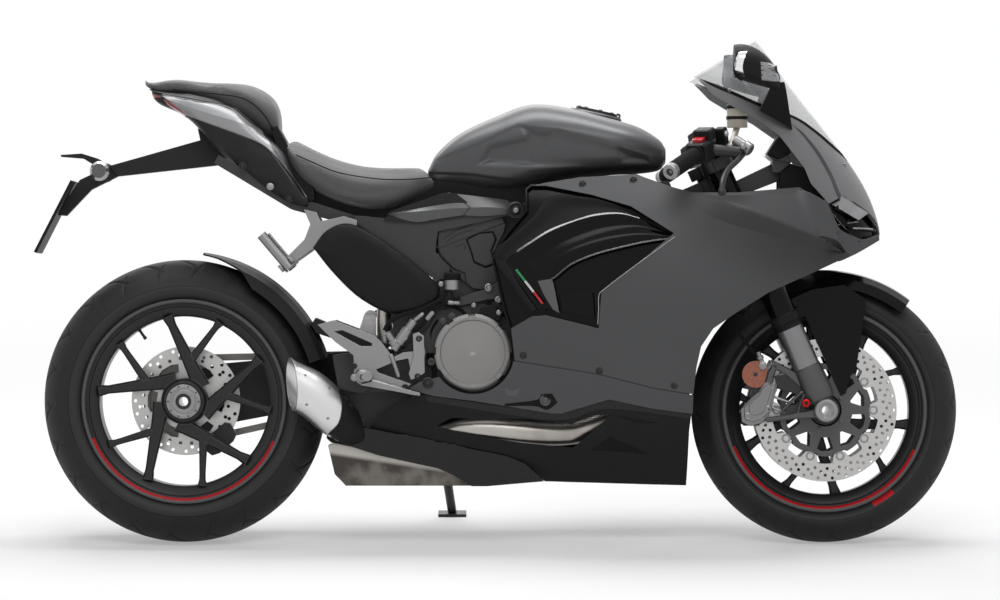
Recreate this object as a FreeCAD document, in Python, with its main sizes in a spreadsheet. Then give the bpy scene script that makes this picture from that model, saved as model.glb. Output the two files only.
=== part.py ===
import FreeCAD, Part
import math
import os

import Sketcher
from FreeCAD import Placement, Rotation, Vector

# A sport bike, parked on its side stand. It is drawn upright, with X forward, Y to its left and Z up
# from the ground, and each finished piece is then leaned over to its left onto the stand.

# Driving sizes: the alias of each cell, its value in millimetres or degrees, and what it measures.
SIZES = [
    ("lean_deg", 10, "lean of the parked bike to its left"),
    ("centre_x", -18.8, "middle of the whole length, forward of the drawing's origin"),
    ("centre_y", 179.8, "middle of the whole width once leaned"),
    ("rear_radius", 317, "rear tyre radius"),
    ("rear_width", 180, "rear tyre width"),
    ("rear_crown", 95, "radius of the rear tread in section"),
    ("front_radius", 298, "front tyre radius"),
    ("front_width", 120, "front tyre width"),
    ("front_crown", 62, "radius of the front tread in section"),
    ("flange_radius", 229, "rim flange radius of a 17 inch wheel"),
    ("seat_radius", 216, "bead seat radius"),
    ("well_depth", 20, "depth of the rim's drop well under the bead seats"),
    ("rim_wall", 7, "wall of the rim"),
    ("flange_wall", 7, "thickness of a rim flange"),
    ("bead_width", 20, "width of a bead seat"),
    ("rear_rim_width", 156, "rear rim over its flanges"),
    ("front_rim_width", 104, "front rim over its flanges"),
    ("front_hub_radius", 36, "front hub barrel radius"),
    ("front_hub_width", 138, "front hub over its ends"),
    ("spoke_width", 18, "width of a spoke at the rim"),
    ("spoke_depth", 28, "depth of a spoke along the axle"),
    ("spoke_count", 5, "forked spokes in a wheel"),
    ("spoke_swirl_deg", 62, "how far a spoke's foot trails its rim end"),
    ("spoke_fork_deg", 35, "angle between the two rim ends of a forked spoke"),
    ("rear_hub_radius", 52, "rear hub radius"),
    ("rear_spoke_y", -52, "middle of the rear spokes, to the right of the wheel's middle"),
    ("axle_bore", 15, "radius of the bore through the rear axle"),
    ("rear_axle_radius", 27, "rear axle tube radius"),
    ("rear_nut_radius", 38, "rear wheel nut radius"),
    ("front_axle_radius", 14, "front axle radius"),
    ("front_axle_bore", 10, "radius of the bore through the front axle"),
    ("running_gap", 0.05, "radial clearance of a turning fit"),
    ("seat_gap", 0.3, "clearance of a piece on its seat"),
    ("front_disc_radius", 160, "front brake disc radius"),
    ("front_disc_inner", 126, "inner radius of the front braking ring"),
    ("disc_thickness", 5, "brake disc thickness"),
    ("front_disc_y", 66, "middle of a front disc from the wheel's middle"),
    ("rear_disc_radius", 122.5, "rear brake disc radius"),
    ("rear_disc_y", 24, "middle of the rear disc from the wheel's middle"),
    ("sprocket_radius", 98, "rear sprocket tip radius"),
    ("front_sprocket_radius", 36, "gearbox sprocket tip radius"),
    ("chain_y", 138, "chain line from the bike's middle"),
    ("chain_width", 18, "chain width over its plates"),
    ("chain_height", 15, "height of a chain plate"),
    ("pivot_x", -190, "swingarm pivot, forward"),
    ("pivot_z", 378, "swingarm pivot height"),
    ("pivot_radius", 15, "swingarm pivot pin radius"),
    ("swingarm_length", 531.5, "pivot to rear axle"),
    ("arm_inner_y", 102, "inner face of the single arm beside the tyre"),
    ("arm_outer_y", 125, "outer face of the single arm"),
    ("head_x", 477.6, "steering head centre, forward"),
    ("head_z", 755, "steering head centre height"),
    ("rake_deg", 24, "rake of the steering axis"),
    ("fork_offset", 33, "fork tubes ahead of the steering axis"),
    ("fork_spacing", 210, "fork tube centres"),
    ("fork_reach", 668, "fork top above the axle, along the tube"),
    ("fork_foot_width", 43, "width of a fork foot round the axle"),
    ("upper_tube_radius", 26, "upper fork tube radius"),
    ("slider_radius", 21.5, "fork slider radius"),
    ("stem_radius", 18, "steering stem radius"),
    ("head_tube_radius", 34, "head tube radius"),
    ("head_tube_length", 130, "head tube length"),
    ("clamp_thickness", 26, "thickness of a fork clamp"),
    ("bar_radius", 11, "clip-on tube radius"),
    ("grip_radius", 17, "grip radius"),
    ("grip_length", 118, "grip length"),
    ("clip_on_length", 239.9, "clip-on from its ring to the bar's end"),
    ("crank_x", -71, "clutch centre, forward"),
    ("crank_z", 427, "clutch centre height"),
    ("clutch_radius", 86, "clutch cover radius"),
    ("case_half", 112, "half width of the crankcase"),
    ("cover_depth", 36, "how far the clutch cover stands out"),
    ("panel_wall", 3, "thickness of a fairing panel"),
    ("panel_gap", 2, "gap between neighbouring panels"),
    ("fairing_half", 222, "half width of the fairing at its widest"),
    ("duct_inset", 20, "how far the side duct lies inside the panel"),
    ("screen_wall", 3, "thickness of the windscreen"),
    ("nose_half", 168, "half width of the nose at the screen"),
    ("seat_half", 128, "half width of the seat"),
    ("tail_half", 122, "half width of the tail"),
    ("tank_half", 160, "half width of the tank"),
    ("hose_radius", 3.3, "brake hose radius"),
    ("stand_length", 246, "side stand, pivot to foot"),
    ("stand_radius", 11, "side stand leg radius"),
    ("stand_foot_y", 290, "foot of the side stand from the bike's middle"),
    ("left_foot_out", 24, "how much further out the left footrest lies, clear of the chain"),
    ("peg_length", 86, "passenger peg length"),
    ("peg_radius", 11, "passenger peg radius"),
    ("peg_pivot_y", 132, "passenger peg pivot from the bike's middle"),
    ("plate_width", 180, "number plate width"),
    ("plate_height", 175, "number plate height"),
    ("mirror_y", 300, "middle of a mirror from the bike's middle"),
    ("cap_radius", 46, "fuel lid radius"),
    ("neck_radius", 32, "radius of the fuel filler neck"),
    ("bar_end_hole", 4, "radius of the threaded hole in a bar end"),
]

doc = FreeCAD.newDocument("sport_bike")
sheet = doc.addObject("Spreadsheet::Sheet", "Sizes")
for row, (alias, value, meaning) in enumerate(SIZES, 1):
    sheet.set(f"A{row}", meaning)
    sheet.set(f"B{row}", str(value))
    sheet.setAlias(f"B{row}", alias)
doc.recompute()


def size(alias):
    """The value of a cell of the sheet."""
    return float(getattr(sheet, alias))


def cell(alias):
    """The expression that reads a cell of the sheet."""
    return f"Sizes.{alias}"


# Places that follow from the sizes
LEAN = math.radians(size("lean_deg"))
RAKE = math.radians(size("rake_deg"))
AXIS_UP = Vector(-math.sin(RAKE), 0, math.cos(RAKE))
AXIS_FORWARD = Vector(math.cos(RAKE), 0, math.sin(RAKE))
LEAN_DROP = 1 - math.cos(LEAN)
rear_rise = size("rear_crown") * LEAN_DROP
front_rise = size("front_crown") * LEAN_DROP
rear_drop = size("pivot_z") - size("rear_radius")
rear_axle = Vector(
    size("pivot_x") - math.sqrt(size("swingarm_length") ** 2 - rear_drop**2), 0, size("rear_radius"),
)
front_axle_z = size("front_radius") + front_rise - rear_rise
head = Vector(size("head_x"), 0, size("head_z"))
front_axle_x = head.x + math.tan(RAKE) * (head.z - front_axle_z) + size("fork_offset") / math.cos(RAKE)
front_axle = Vector(front_axle_x, 0, front_axle_z)
PARKED = Placement(
    Vector(-size("centre_x"), -size("centre_y"), rear_rise),
    Rotation(Vector(1, 0, 0), -size("lean_deg")),
)

kept = []
finished = {}


def keep(feature, name):
    """Names a finished piece and leans it over with the rest of the bike."""
    feature.Label = name
    feature.Placement = PARKED.multiply(feature.Placement)
    kept.append(feature)
    return feature


def keep_shape(name, *shapes):
    """A finished piece made with Part's own functions: one solid, or several that don't touch."""
    feature = doc.addObject("Part::Feature", name)
    finished[name] = list(shapes)
    feature.Shape = shapes[0] if len(shapes) == 1 else Part.makeCompound(list(shapes))
    return keep(feature, name)


def fused(*shapes):
    """The shapes joined into one, with the seams between them removed."""
    whole = shapes[0].multiFuse(list(shapes[1:]))
    cleaned = whole.removeSplitter()
    return cleaned if cleaned.isValid() else whole


def mirrored(shape):
    """The same shape on the other side of the bike."""
    return shape.mirror(Vector(0, 0, 0), Vector(0, 1, 0))


def rod(start, end, radius, end_radius=None):
    """A round bar or cone between two points."""
    along = end - start
    if end_radius is None or end_radius == radius:
        return Part.makeCylinder(radius, along.Length, start, along)
    return Part.makeCone(radius, end_radius, along.Length, start, along)


def polygon_face(points):
    """A face in the side view with straight edges through (x, z) points."""
    corners = [Vector(x, 0, z) for x, z in points]
    return Part.Face(Part.makePolygon(corners + corners[:1]))


def side_plate(face, y_from, y_to):
    """A side-view face given its width across the bike."""
    moved = face.translated(Vector(0, y_from, 0))
    return moved.extrude(Vector(0, y_to - y_from, 0))


def rounded_section(x, z_low, z_high, half_width, power=2.6, count=16):
    """A closed rounded section across the bike at x: a superellipse |y/a|^p + |z/b|^p = 1."""
    middle = (z_low + z_high) / 2
    half_height = (z_high - z_low) / 2
    points = []
    for step in range(count):
        turn = 2 * math.pi * (step + 0.5) / count
        across, up = math.cos(turn), math.sin(turn)
        y = half_width * math.copysign(abs(across) ** (2 / power), across)
        z = middle + half_height * math.copysign(abs(up) ** (2 / power), up)
        points.append(Vector(x, y, z))
    curve = Part.BSplineCurve()
    curve.interpolate(points, PeriodicFlag=True)
    return Part.Wire(curve.toShape())


def lofted_body(stations, power=2.6):
    """A solid through rounded sections, each given as (x, z low, z high, half width)."""
    return Part.makeLoft([rounded_section(*station, power) for station in stations], True, False)


def turned(profile, centre):
    """A solid of revolution about an axle across the bike, from (radius, y) points."""
    corners = [Vector(centre.x + r, centre.y + y, centre.z) for r, y in profile]
    face = Part.Face(Part.makePolygon(corners + corners[:1]))
    return face.revolve(centre, Vector(0, 1, 0), 360)


def part_turn(face, centre, first_deg, turn_deg):
    """A face swept round an axle, from first_deg above the front through turn_deg."""
    sweep = face.revolve(centre, Vector(0, -1, 0), turn_deg)
    sweep.rotate(centre, Vector(0, -1, 0), first_deg)
    if sweep.Volume < 0:
        sweep.reverse()
    return sweep


# Part Design helpers
def origin_plane(body, role):
    """One of a body's own base planes."""
    return next(f for f in body.Origin.OriginFeatures if f.Role == role)


def plane_sketch(body, name, role):
    """An empty sketch on one of the body's base planes."""
    sketch = body.newObject("Sketcher::SketchObject", name)
    sketch.AttachmentSupport = [(origin_plane(body, role), "")]
    sketch.MapMode = "FlatFace"
    return sketch


def draw_polygon(sketch, corners):
    """A closed polygon whose corners are numbers, or expressions that read the sheet."""
    count = len(corners)
    for index in range(count):
        ends = []
        for turn in (index, index + 1):
            angle = 2 * math.pi * turn / count
            ends.append(Vector(50 * math.cos(angle), 50 * math.sin(angle), 0))
        sketch.addGeometry(Part.LineSegment(*ends), False)
    for index in range(count):
        sketch.addConstraint(Sketcher.Constraint("Coincident", index, 2, (index + 1) % count, 1))
    for index, corner in enumerate(corners):
        for kind, value in zip(("DistanceX", "DistanceY"), corner):
            number = 1.0 if isinstance(value, str) else float(value)
            place = sketch.addConstraint(Sketcher.Constraint(kind, -1, 1, index, 1, number))
            if isinstance(value, str):
                sketch.setExpression(f"Constraints[{place}]", value)


def revolve(body, name, corners):
    """A turned feature of the body about its Y axis, from (radius, y) corners."""
    sketch = plane_sketch(body, name + "_profile", "XY_Plane")
    draw_polygon(sketch, corners)
    feature = body.newObject("PartDesign::Revolution", name)
    feature.Profile = sketch
    feature.ReferenceAxis = (sketch, ["V_Axis"])
    feature.Angle = 360
    body.Tip = feature
    return feature


def side_pad(body, name, corners, width, middle_y=0.0):
    """A padded feature drawn in side view, with its width across the bike about middle_y."""
    sketch = plane_sketch(body, name + "_profile", "XZ_Plane")
    sketch.AttachmentOffset = Placement(Vector(0, 0, -middle_y), Rotation())
    draw_polygon(sketch, corners)
    feature = body.newObject("PartDesign::Pad", name)
    feature.Profile = sketch
    feature.Midplane = True
    feature.setExpression("Length", width)
    body.Tip = feature
    return feature


def ring_of(body, name, features, count_cell):
    """A polar pattern of features about the body's Y axis."""
    pattern = body.newObject("PartDesign::PolarPattern", name)
    pattern.Originals = features
    pattern.Axis = (features[0].Profile[0], ["N_Axis"])
    pattern.Angle = 360
    pattern.setExpression("Occurrences", count_cell)
    body.Tip = pattern
    return pattern


# Wheels
def bar_corners(start, end, start_half, end_half):
    """The four corners of a tapered bar between two points of a sketch."""
    dx, dz = end[0] - start[0], end[1] - start[1]
    length = math.hypot(dx, dz)
    nx, nz = -dz / length, dx / length
    return [
        (start[0] + nx * start_half, start[1] + nz * start_half),
        (end[0] + nx * end_half, end[1] + nz * end_half),
        (end[0] - nx * end_half, end[1] - nz * end_half),
        (start[0] - nx * start_half, start[1] - nz * start_half),
    ]


def polar(radius, degrees):
    """A sketch point at a radius and an angle."""
    return radius * math.cos(math.radians(degrees)), radius * math.sin(math.radians(degrees))


def rim_body(name, width_alias, hub_profile, spoke_y, first_deg, foot_radius):
    """A cast wheel: a drop-centre rim, forked spokes that trail round the hub, and the hub."""
    body = doc.addObject("PartDesign::Body", name)
    half = f"{cell(width_alias)} / 2"
    flange, seat = cell("flange_radius"), cell("seat_radius")
    well = f"({seat} - {cell('well_depth')})"
    wall, lip, bead = cell("rim_wall"), cell("flange_wall"), cell("bead_width")
    inner = f"{well} - {wall}"
    right = [
        (flange, f"{half}"),
        (flange, f"{half} - {lip}"),
        (seat, f"{half} - {lip}"),
        (seat, f"{half} - {lip} - {bead}"),
        (well, f"{half} - {lip} - {bead} - {wall}"),
    ]
    left = [(r, f"-({y})") for r, y in reversed(right)]
    inside = [(f"{flange} - {wall}", f"-({half})"), (inner, f"-({half}) + {lip} + {bead}")]
    inside += [(inner, f"{half} - {lip} - {bead}"), (f"{flange} - {wall}", half)]
    revolve(body, name + "_rim", right + left + inside)
    rim_point = size("seat_radius") - size("well_depth") - size("rim_wall") / 2
    start = polar(rim_point, first_deg)
    foot = polar(foot_radius, first_deg - size("spoke_swirl_deg"))
    half_width = size("spoke_width") / 2
    fork_share = 0.6
    joint = (start[0] + fork_share * (foot[0] - start[0]), start[1] + fork_share * (foot[1] - start[1]))
    branch_start = polar(rim_point, first_deg - size("spoke_fork_deg"))
    depth = cell("spoke_depth")
    main = side_pad(
        body, name + "_spoke", bar_corners(start, foot, half_width, half_width * 2.1), depth, spoke_y,
    )
    branch_shape = bar_corners(branch_start, joint, half_width, half_width * 1.4)
    branch = side_pad(body, name + "_branch", branch_shape, depth, spoke_y)
    ring_of(body, name + "_spokes", [main, branch], cell("spoke_count"))
    revolve(body, name + "_hub", hub_profile)
    return body


def tyre_solid(radius, width, crown, rim_half, centre):
    """A solid tyre: a round tread between two bulged sidewalls, on the bead seats."""
    lip = size("flange_wall") + size("seat_gap")
    base = size("seat_radius") + size("seat_gap")
    edge = width / 2
    bulge = edge - 5
    shoulder_r = radius - (crown - math.sqrt(crown**2 - bulge**2))
    bead_y = rim_half - lip
    bead_r = size("flange_radius") + 3
    side_r = (shoulder_r + bead_r) / 2

    def at(r, y):
        return Vector(centre.x + r, centre.y + y, centre.z)

    edges = [
        Part.Arc(at(shoulder_r, -bulge), at(radius, 0), at(shoulder_r, bulge)).toShape(),
        Part.Arc(at(shoulder_r, bulge), at(side_r, edge), at(bead_r, bead_y)).toShape(),
        Part.makeLine(at(bead_r, bead_y), at(base, bead_y)),
        Part.makeLine(at(base, bead_y), at(base, -bead_y)),
        Part.makeLine(at(base, -bead_y), at(bead_r, -bead_y)),
        Part.Arc(at(bead_r, -bead_y), at(side_r, -edge), at(shoulder_r, -bulge)).toShape(),
    ]
    return Part.Face(Part.Wire(edges)).revolve(centre, Vector(0, 1, 0), 360)


def make_front_wheel():
    hub_r, hub_half = cell("front_hub_radius"), f"{cell('front_hub_width')} / 2"
    bore = f"{cell('front_axle_radius')} + {cell('running_gap')}"
    hub = [(bore, f"-({hub_half})"), (hub_r, f"-({hub_half})"), (hub_r, hub_half), (bore, hub_half)]
    rim = rim_body("front_rim", "front_rim_width", hub, 0.0, 62, size("front_hub_radius") - 4)
    rim.Placement = Placement(front_axle, Rotation())
    keep(rim, "front_rim")
    tyre = tyre_solid(
        size("front_radius"), size("front_width"), size("front_crown"), size("front_rim_width") / 2,
        front_axle,
    )
    keep_shape("front_tyre", tyre)


def ring_plate(inner, outer, y, thickness, centre):
    """A flat ring about an axle, with its middle plane at y."""
    low = y - thickness / 2
    return turned([(inner, low), (outer, low), (outer, low + thickness), (inner, low + thickness)], centre)


def carrier_plate(y, thickness, centre):
    """The open carrier of a front disc: a boss ring with arms out to the braking ring."""
    inner, boss = size("front_hub_radius") + size("seat_gap"), 52
    tip = size("front_disc_inner")
    ring = ring_plate(98, 112, y, thickness, centre)
    middle = ring_plate(inner, boss, y, thickness, centre)
    arms = []
    for index in range(10):
        start = polar(boss - 3, 36 * index)
        end = polar(tip, 36 * index + (8 if index % 2 else -8))
        face = polygon_face(bar_corners(start, end, 9, 6))
        arms.append(side_plate(
            face, y - thickness / 2, y + thickness / 2,
        ).translated(Vector(centre.x, 0, centre.z)))
    trim = ring_plate(0, tip, y, thickness * 2, centre)
    return fused(ring, middle, *arms).common(trim)


def make_front_discs():
    t = size("disc_thickness")
    rotors, carriers = [], []
    for side in (-1, 1):
        y = side * size("front_disc_y")
        ring = ring_plate(size("front_disc_inner"), size("front_disc_radius"), y, t, front_axle)
        rotors.append(ring)
        carriers.append(carrier_plate(y, t, front_axle))
    keep_shape("front_discs", *rotors, *carriers)


def make_rear_wheel():
    bore = f"{cell('rear_axle_radius')} + {cell('seat_gap')}"
    hub_r = cell("rear_hub_radius")
    hub = [(bore, "-78"), (hub_r, "-78"), (hub_r, "6"), (bore, "6")]
    rim = rim_body(
        "rear_rim", "rear_rim_width", hub, size("rear_spoke_y"), 101, size("rear_hub_radius") - 4,
    )
    rim.Placement = Placement(rear_axle, Rotation())
    keep(rim, "rear_rim")
    tyre = tyre_solid(
        size("rear_radius"), size("rear_width"), size("rear_crown"), size("rear_rim_width") / 2,
        rear_axle,
    )
    keep_shape("rear_tyre", tyre)


def make_rear_axle():
    """The hollow axle that turns with the wheel: right nut, disc flange, and left sprocket nut."""
    bore, tube, nut = size("axle_bore"), size("rear_axle_radius"), size("rear_nut_radius")
    chain_y = size("chain_y")
    profile = [
        (bore, -96), (nut - 3, -96), (nut, -93), (nut, -78 - size("seat_gap")),
        (tube, -78 - size("seat_gap")),
    ]
    flange_out = size("rear_disc_y") - size("disc_thickness") / 2
    profile += [
        (tube, 6 + size("seat_gap")), (58, 6 + size("seat_gap")), (58, flange_out), (tube, flange_out),
    ]
    profile += [(tube, chain_y + 3), (nut, chain_y + 3), (nut, chain_y + 16), (bore, chain_y + 16)]
    keep_shape("rear_axle", turned(profile, rear_axle))


def make_rear_disc():
    t = size("disc_thickness")
    y = size("rear_disc_y")
    ring = ring_plate(
        size("rear_axle_radius") + size("seat_gap"), size("rear_disc_radius"), y, t, rear_axle,
    )
    windows = []
    for index in range(6):
        outer = polar(78, 60 * index)
        window = Part.makeCylinder(
            15, 4 * t, Vector(rear_axle.x + outer[0], y - 2 * t, rear_axle.z + outer[1]),
            Vector(0, 1, 0),
        )
        windows.append(window)
    keep_shape("rear_disc", ring.cut(Part.makeCompound(windows)))


def toothed_plate(tip, teeth, y, thickness, centre, bore):
    """A sprocket: a disc with a notch between each two teeth."""
    root = tip - 7
    points = []
    for index in range(teeth):
        for share, radius in ((-0.22, tip), (0.22, tip), (0.34, root), (0.66, root)):
            x, z = polar(radius, 360 * (index + share) / teeth)
            points.append((centre.x + x, centre.z + z))
    plate = side_plate(polygon_face(points), y - thickness / 2, y + thickness / 2)
    hole = Part.makeCylinder(
        bore, 4 * thickness, Vector(centre.x, y - 2 * thickness, centre.z), Vector(0, 1, 0),
    )
    return plate.cut(hole)


def make_rear_sprocket():
    y = size("chain_y")
    plate = toothed_plate(
        size("sprocket_radius"), 36, y, 6, rear_axle, size("rear_axle_radius") + size("seat_gap"),
    )
    holes = []
    for index in range(6):
        x, z = polar(66, 60 * index + 30)
        holes.append(Part.makeCylinder(
            14, 40, Vector(rear_axle.x + x, y - 20, rear_axle.z + z), Vector(0, 1, 0),
        ))
    keep_shape("rear_sprocket", plate.cut(Part.makeCompound(holes)))


# The engine and what it carries
def case_block():
    """Crankcase, rear cylinder and front cylinder of the twin, as one block."""
    half = size("case_half") - 10
    case = [
        (-235, 352), (-232, 430), (-170, 480), (-150, 520), (-20, 540), (60, 500), (125, 440),
        (120, 330), (60, 285), (-60, 275), (-175, 300),
    ]
    crank = side_plate(polygon_face(case), -half, half)
    rear = side_plate(polygon_face([
        (-140, 500), (0, 500), (2, 715), (-10, 733), (-134, 706), (-150, 690),
    ]), -78, 78)
    front = side_plate(polygon_face([
        (60, 330), (110, 300), (300, 372), (345, 420), (300, 540), (255, 545), (60, 470),
    ]), -78, 78)
    pivot = Part.makeCylinder(
        34, 2 * half, Vector(size("pivot_x"), -half, size("pivot_z")), Vector(0, 1, 0),
    )
    return fused(crank, rear, front, pivot)


def swing_pin(radius, half):
    """A bar across the bike on the swingarm pivot."""
    return Part.makeCylinder(
        radius, 2 * half, Vector(size("pivot_x"), -half, size("pivot_z")), Vector(0, 1, 0),
    )


def make_engine():
    half = size("case_half") - 10
    lug_room = side_plate(polygon_face([(-260, 330), (-260, 425), (-150, 425), (-150, 330)]), 56, half + 5)
    block = case_block().cut(lug_room).cut(mirrored(lug_room)).cut(swing_pin(size("pivot_radius"), 200))
    keep_shape("engine_block", block)


def make_clutch_cover():
    body = doc.addObject("PartDesign::Body", "clutch_cover")
    radius = cell("clutch_radius")
    seat = f"-({cell('case_half')} - 10)"
    face = f"{seat} - {cell('cover_depth')}"
    rim, plate = f"{face} + 14", f"{face} + 3"
    dome = [("0", seat), (radius, seat), (radius, rim), (f"{radius} - 4", face), (f"{radius} - 13", face)]
    dome += [(f"{radius} - 15", plate), ("0", face)]
    revolve(body, "clutch_dome", dome)
    body.Placement = Placement(Vector(size("crank_x"), 0, size("crank_z")), Rotation())
    keep(body, "clutch_cover")


def make_side_covers():
    half = size("case_half") - 10
    centre = Vector(size("crank_x") + 95, half, size("crank_z") - 10)
    cover = Part.makeCylinder(78, 34, centre, Vector(0, 1, 0))
    cover = cover.makeFillet(8, [cover.Edges[0]])
    cam = polygon_face([
        (-152, 699), (-134, 706), (-11, 735), (1, 713), (-17, 663), (-26, 630), (-74, 575), (-112, 600),
        (-146, 645),
    ])
    right = side_plate(cam, -90, -78)
    keep_shape("engine_covers", cover, right, mirrored(right))


# The frame
def head_tube_parts():
    half = size("head_tube_length") / 2
    return rod(head - AXIS_UP * half, head + AXIS_UP * half, size("head_tube_radius"))


def make_main_frame():
    outer = [
        (430, 745), (440, 705), (385, 650), (305, 612), (170, 640), (60, 690), (10, 735), (15, 752),
        (90, 778), (250, 800), (395, 812),
    ]
    inner = [
        (395, 735), (398, 712), (370, 662), (300, 632), (180, 660), (80, 705), (40, 735), (100, 760),
        (250, 780), (385, 790),
    ]
    wall_right = side_plate(polygon_face(outer), -80, -68)
    walls = [wall_right, mirrored(wall_right)]
    ring = side_plate(polygon_face(outer), -68, 68).cut(side_plate(polygon_face(inner), -70, 70))
    neck = side_plate(polygon_face([
        (385, 800), (395, 725), (440, 700), (503, 698), (452, 812), (430, 812),
    ]), -30, 30)
    stem_room = rod(head - AXIS_UP * 300, head + AXIS_UP * 300, size("stem_radius") + size("running_gap"))
    tube_end = AXIS_UP * (size("head_tube_length") / 2)
    clamp_room = [
        rod(head + tube_end, head + tube_end * 3, 112), rod(head - tube_end, head - tube_end * 3, 60),
    ]
    frame = fused(ring, neck, head_tube_parts(), *walls)
    frame = frame.cut(stem_room).cut(clamp_room[0]).cut(clamp_room[1])
    keep_shape("main_frame", frame)


SEAT_FRAME = [
    (-341, 733), (-191, 720), (-85, 738), (7, 762), (39, 758), (39, 729), (1, 731), (-150, 697),
    (-155, 652), (-123, 616), (-119, 589), (-159, 591), (-265, 672), (-326, 711),
]


def seat_rail():
    """The rail under the tail, on the right side."""
    return side_plate(polygon_face([
        (-335, 733), (-345, 712), (-480, 748), (-650, 850), (-640, 868), (-470, 776),
    ]), -92, -80)


def make_seat_frames():
    arm = side_plate(polygon_face(SEAT_FRAME), -104, -92)
    shoulder = side_plate(polygon_face([(-3, 733), (37, 731), (37, 757), (8, 760)]), -92, -80)
    right = fused(arm, seat_rail().fuse(side_plate(polygon_face([
        (-345, 712), (-300, 695), (-300, 731), (-335, 733),
    ]), -92, -80)), shoulder)
    keep_pair("seat_frame", right)


def make_side_guards():
    panel = side_plate(polygon_face([
        (-270, 722), (-255, 742), (-139, 783), (-110, 783), (-74, 755), (-80, 733), (-189, 716),
    ]), -112, -96)
    panel = panel.cut(side_plate(polygon_face(SEAT_FRAME), -104, -92))
    heat = polygon_face([
        (-425, 661), (-393, 697), (-344, 711), (-269, 672), (-164, 589), (-152, 551), (-191, 526),
        (-236, 517), (-269, 522), (-326, 555), (-382, 609),
    ])
    guard_face = polygon_face([
        (-371, 337), (-395, 245), (-359, 222), (-281, 197), (-149, 168), (-112, 152), (-74, 128),
        (-39, 128), (88, 139), (46, 178), (4, 196), (-325, 262), (-314, 276),
    ])
    guard = side_skin(0, 3, guard_half_width).common(side_plate(guard_face, -300, -5))
    guard = biggest(guard.cut(Part.makeCompound(finished["silencer"])))
    keep_shape("side_guards", panel, mirrored(panel), side_plate(heat, -129, -116), guard)


# Tank, seats and tail
def make_tank():
    half = size("tank_half")
    stations = [
        (-172, 800, 836, 0.38), (-150, 795, 875, 0.49), (-100, 792, 918, 0.59), (-20, 785, 956, 0.74),
        (60, 795, 983, 0.88), (150, 815, 974, 0.97), (240, 825, 951, 1.0), (300, 828, 932, 0.88),
        (345, 835, 905, 0.66), (360, 850, 885, 0.5),
    ]
    tank = lofted_body([(x, low, high, share * half) for x, low, high, share in stations], 2.8)
    lid_centre = Vector(205, 0, 964)
    lid_normal = Vector(0.22, 0, 1)
    lid_normal.normalize()
    boss = rod(lid_centre - lid_normal * 30, lid_centre, size("cap_radius") + 10)
    neck = rod(lid_centre - lid_normal * 60, lid_centre, size("neck_radius"))
    above = rod(lid_centre, lid_centre + lid_normal * 40, size("cap_radius") + 10)
    forward = Vector(1, 0, -0.22).normalize()
    hinge = lid_centre + forward * (size("cap_radius") + 4) + lid_normal * 4
    across = Vector(0, 1, 0)
    ears = [rod(hinge + across * y, hinge + across * (y + 5), 3.5) for y in (-19, 14)]
    ears += [ear.translated(lid_normal * -4) for ear in ears]
    pin = rod(hinge - across * 19, hinge + across * 19, 2)
    tank_body = tank.fuse(boss).cut(above).cut(neck).removeSplitter()
    keep_shape("fuel_tank", biggest(fused(tank_body, pin, *ears)))
    lid = rod(
        lid_centre + lid_normal * size("running_gap"), lid_centre + lid_normal * 7, size("cap_radius"),
    )
    barrel = rod(hinge - across * 13.5, hinge + across * 13.5, 3.5)
    link = Part.makeBox(8, 27, 3)
    link.Placement = Placement(
        hinge - forward * 8 - across * 13.5 - lid_normal * 1.5,
        Rotation(forward, across, lid_normal, "ZYX"),
    )
    pin_room = rod(hinge - across * 30, hinge + across * 30, 2 + size("running_gap"))
    keep_shape("fuel_lid", fused(lid, barrel, link).cut(pin_room))
    return tank


def tail_solid():
    half = size("tail_half")
    stations = [
        (-792, 1003, 1018, 0.25), (-755, 975, 1010, 0.5), (-703, 945, 1008, 0.7),
        (-650, 885, 1000, 0.82), (-600, 838, 982, 0.92), (-548, 795, 930, 0.98), (-499, 762, 890, 1.0),
        (-465, 752, 812, 1.0), (-440, 750, 778, 0.94),
    ]
    return lofted_body([(x, low, high, share * half) for x, low, high, share in stations], 3.2)


TAIL_SPLIT = [(-754, 998), (-704, 953), (-638, 928), (-533, 888), (-448, 769), (-430, 769)]


def make_tail(tank):
    tail = tail_solid()
    rider = [
        (-488, 884, 904, 0.8), (-438, 800, 881, 0.98), (-370, 765, 852, 1.0), (-280, 748, 836, 0.94),
        (-200, 772, 836, 0.74), (-155, 792, 830, 0.6),
    ]
    rider_seat = lofted_body(
        [(x, low, high, share * size("seat_half")) for x, low, high, share in rider], 3.0,
    )
    pillion = [
        (-811, 1020, 1036, 0.16), (-760, 1000, 1033, 0.43), (-685, 995, 1029, 0.62),
        (-620, 975, 1026, 0.76), (-573, 945, 1021, 0.82), (-540, 915, 1008, 0.82),
        (-515, 890, 985, 0.76), (-506, 885, 955, 0.68),
    ]
    pillion_seat = lofted_body(
        [(x, low, high, share * size("seat_half")) for x, low, high, share in pillion], 3.0,
    )
    rails = [seat_rail(), mirrored(seat_rail())]
    rider_seat = rider_seat.cut(tail).cut(tank).cut(Part.makeCompound(rails))
    pillion_seat = pillion_seat.cut(tail).cut(rider_seat)
    above = side_plate(polygon_face(TAIL_SPLIT + [(-430, 1100), (-850, 1100), (-850, 998)]), -200, 200)
    light_zone = side_plate(polygon_face([(-800, 998), (-718, 958), (-712, 967), (-792, 1009)]), -200, 200)
    keep_shape("rider_seat", biggest(rider_seat))
    keep_shape("passenger_seat", biggest(pillion_seat))
    keep_shape("tail_light", biggest(tail.common(above).common(light_zone)))
    keep_shape("tail_cowl", biggest(tail.common(above).cut(light_zone)))
    keep_shape("tail_undertray", biggest(tail.cut(above).cut(Part.makeCompound(rails))))


def biggest(shape):
    """The largest solid of a shape."""
    return max(shape.Solids, key=lambda solid: solid.Volume)


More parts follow.
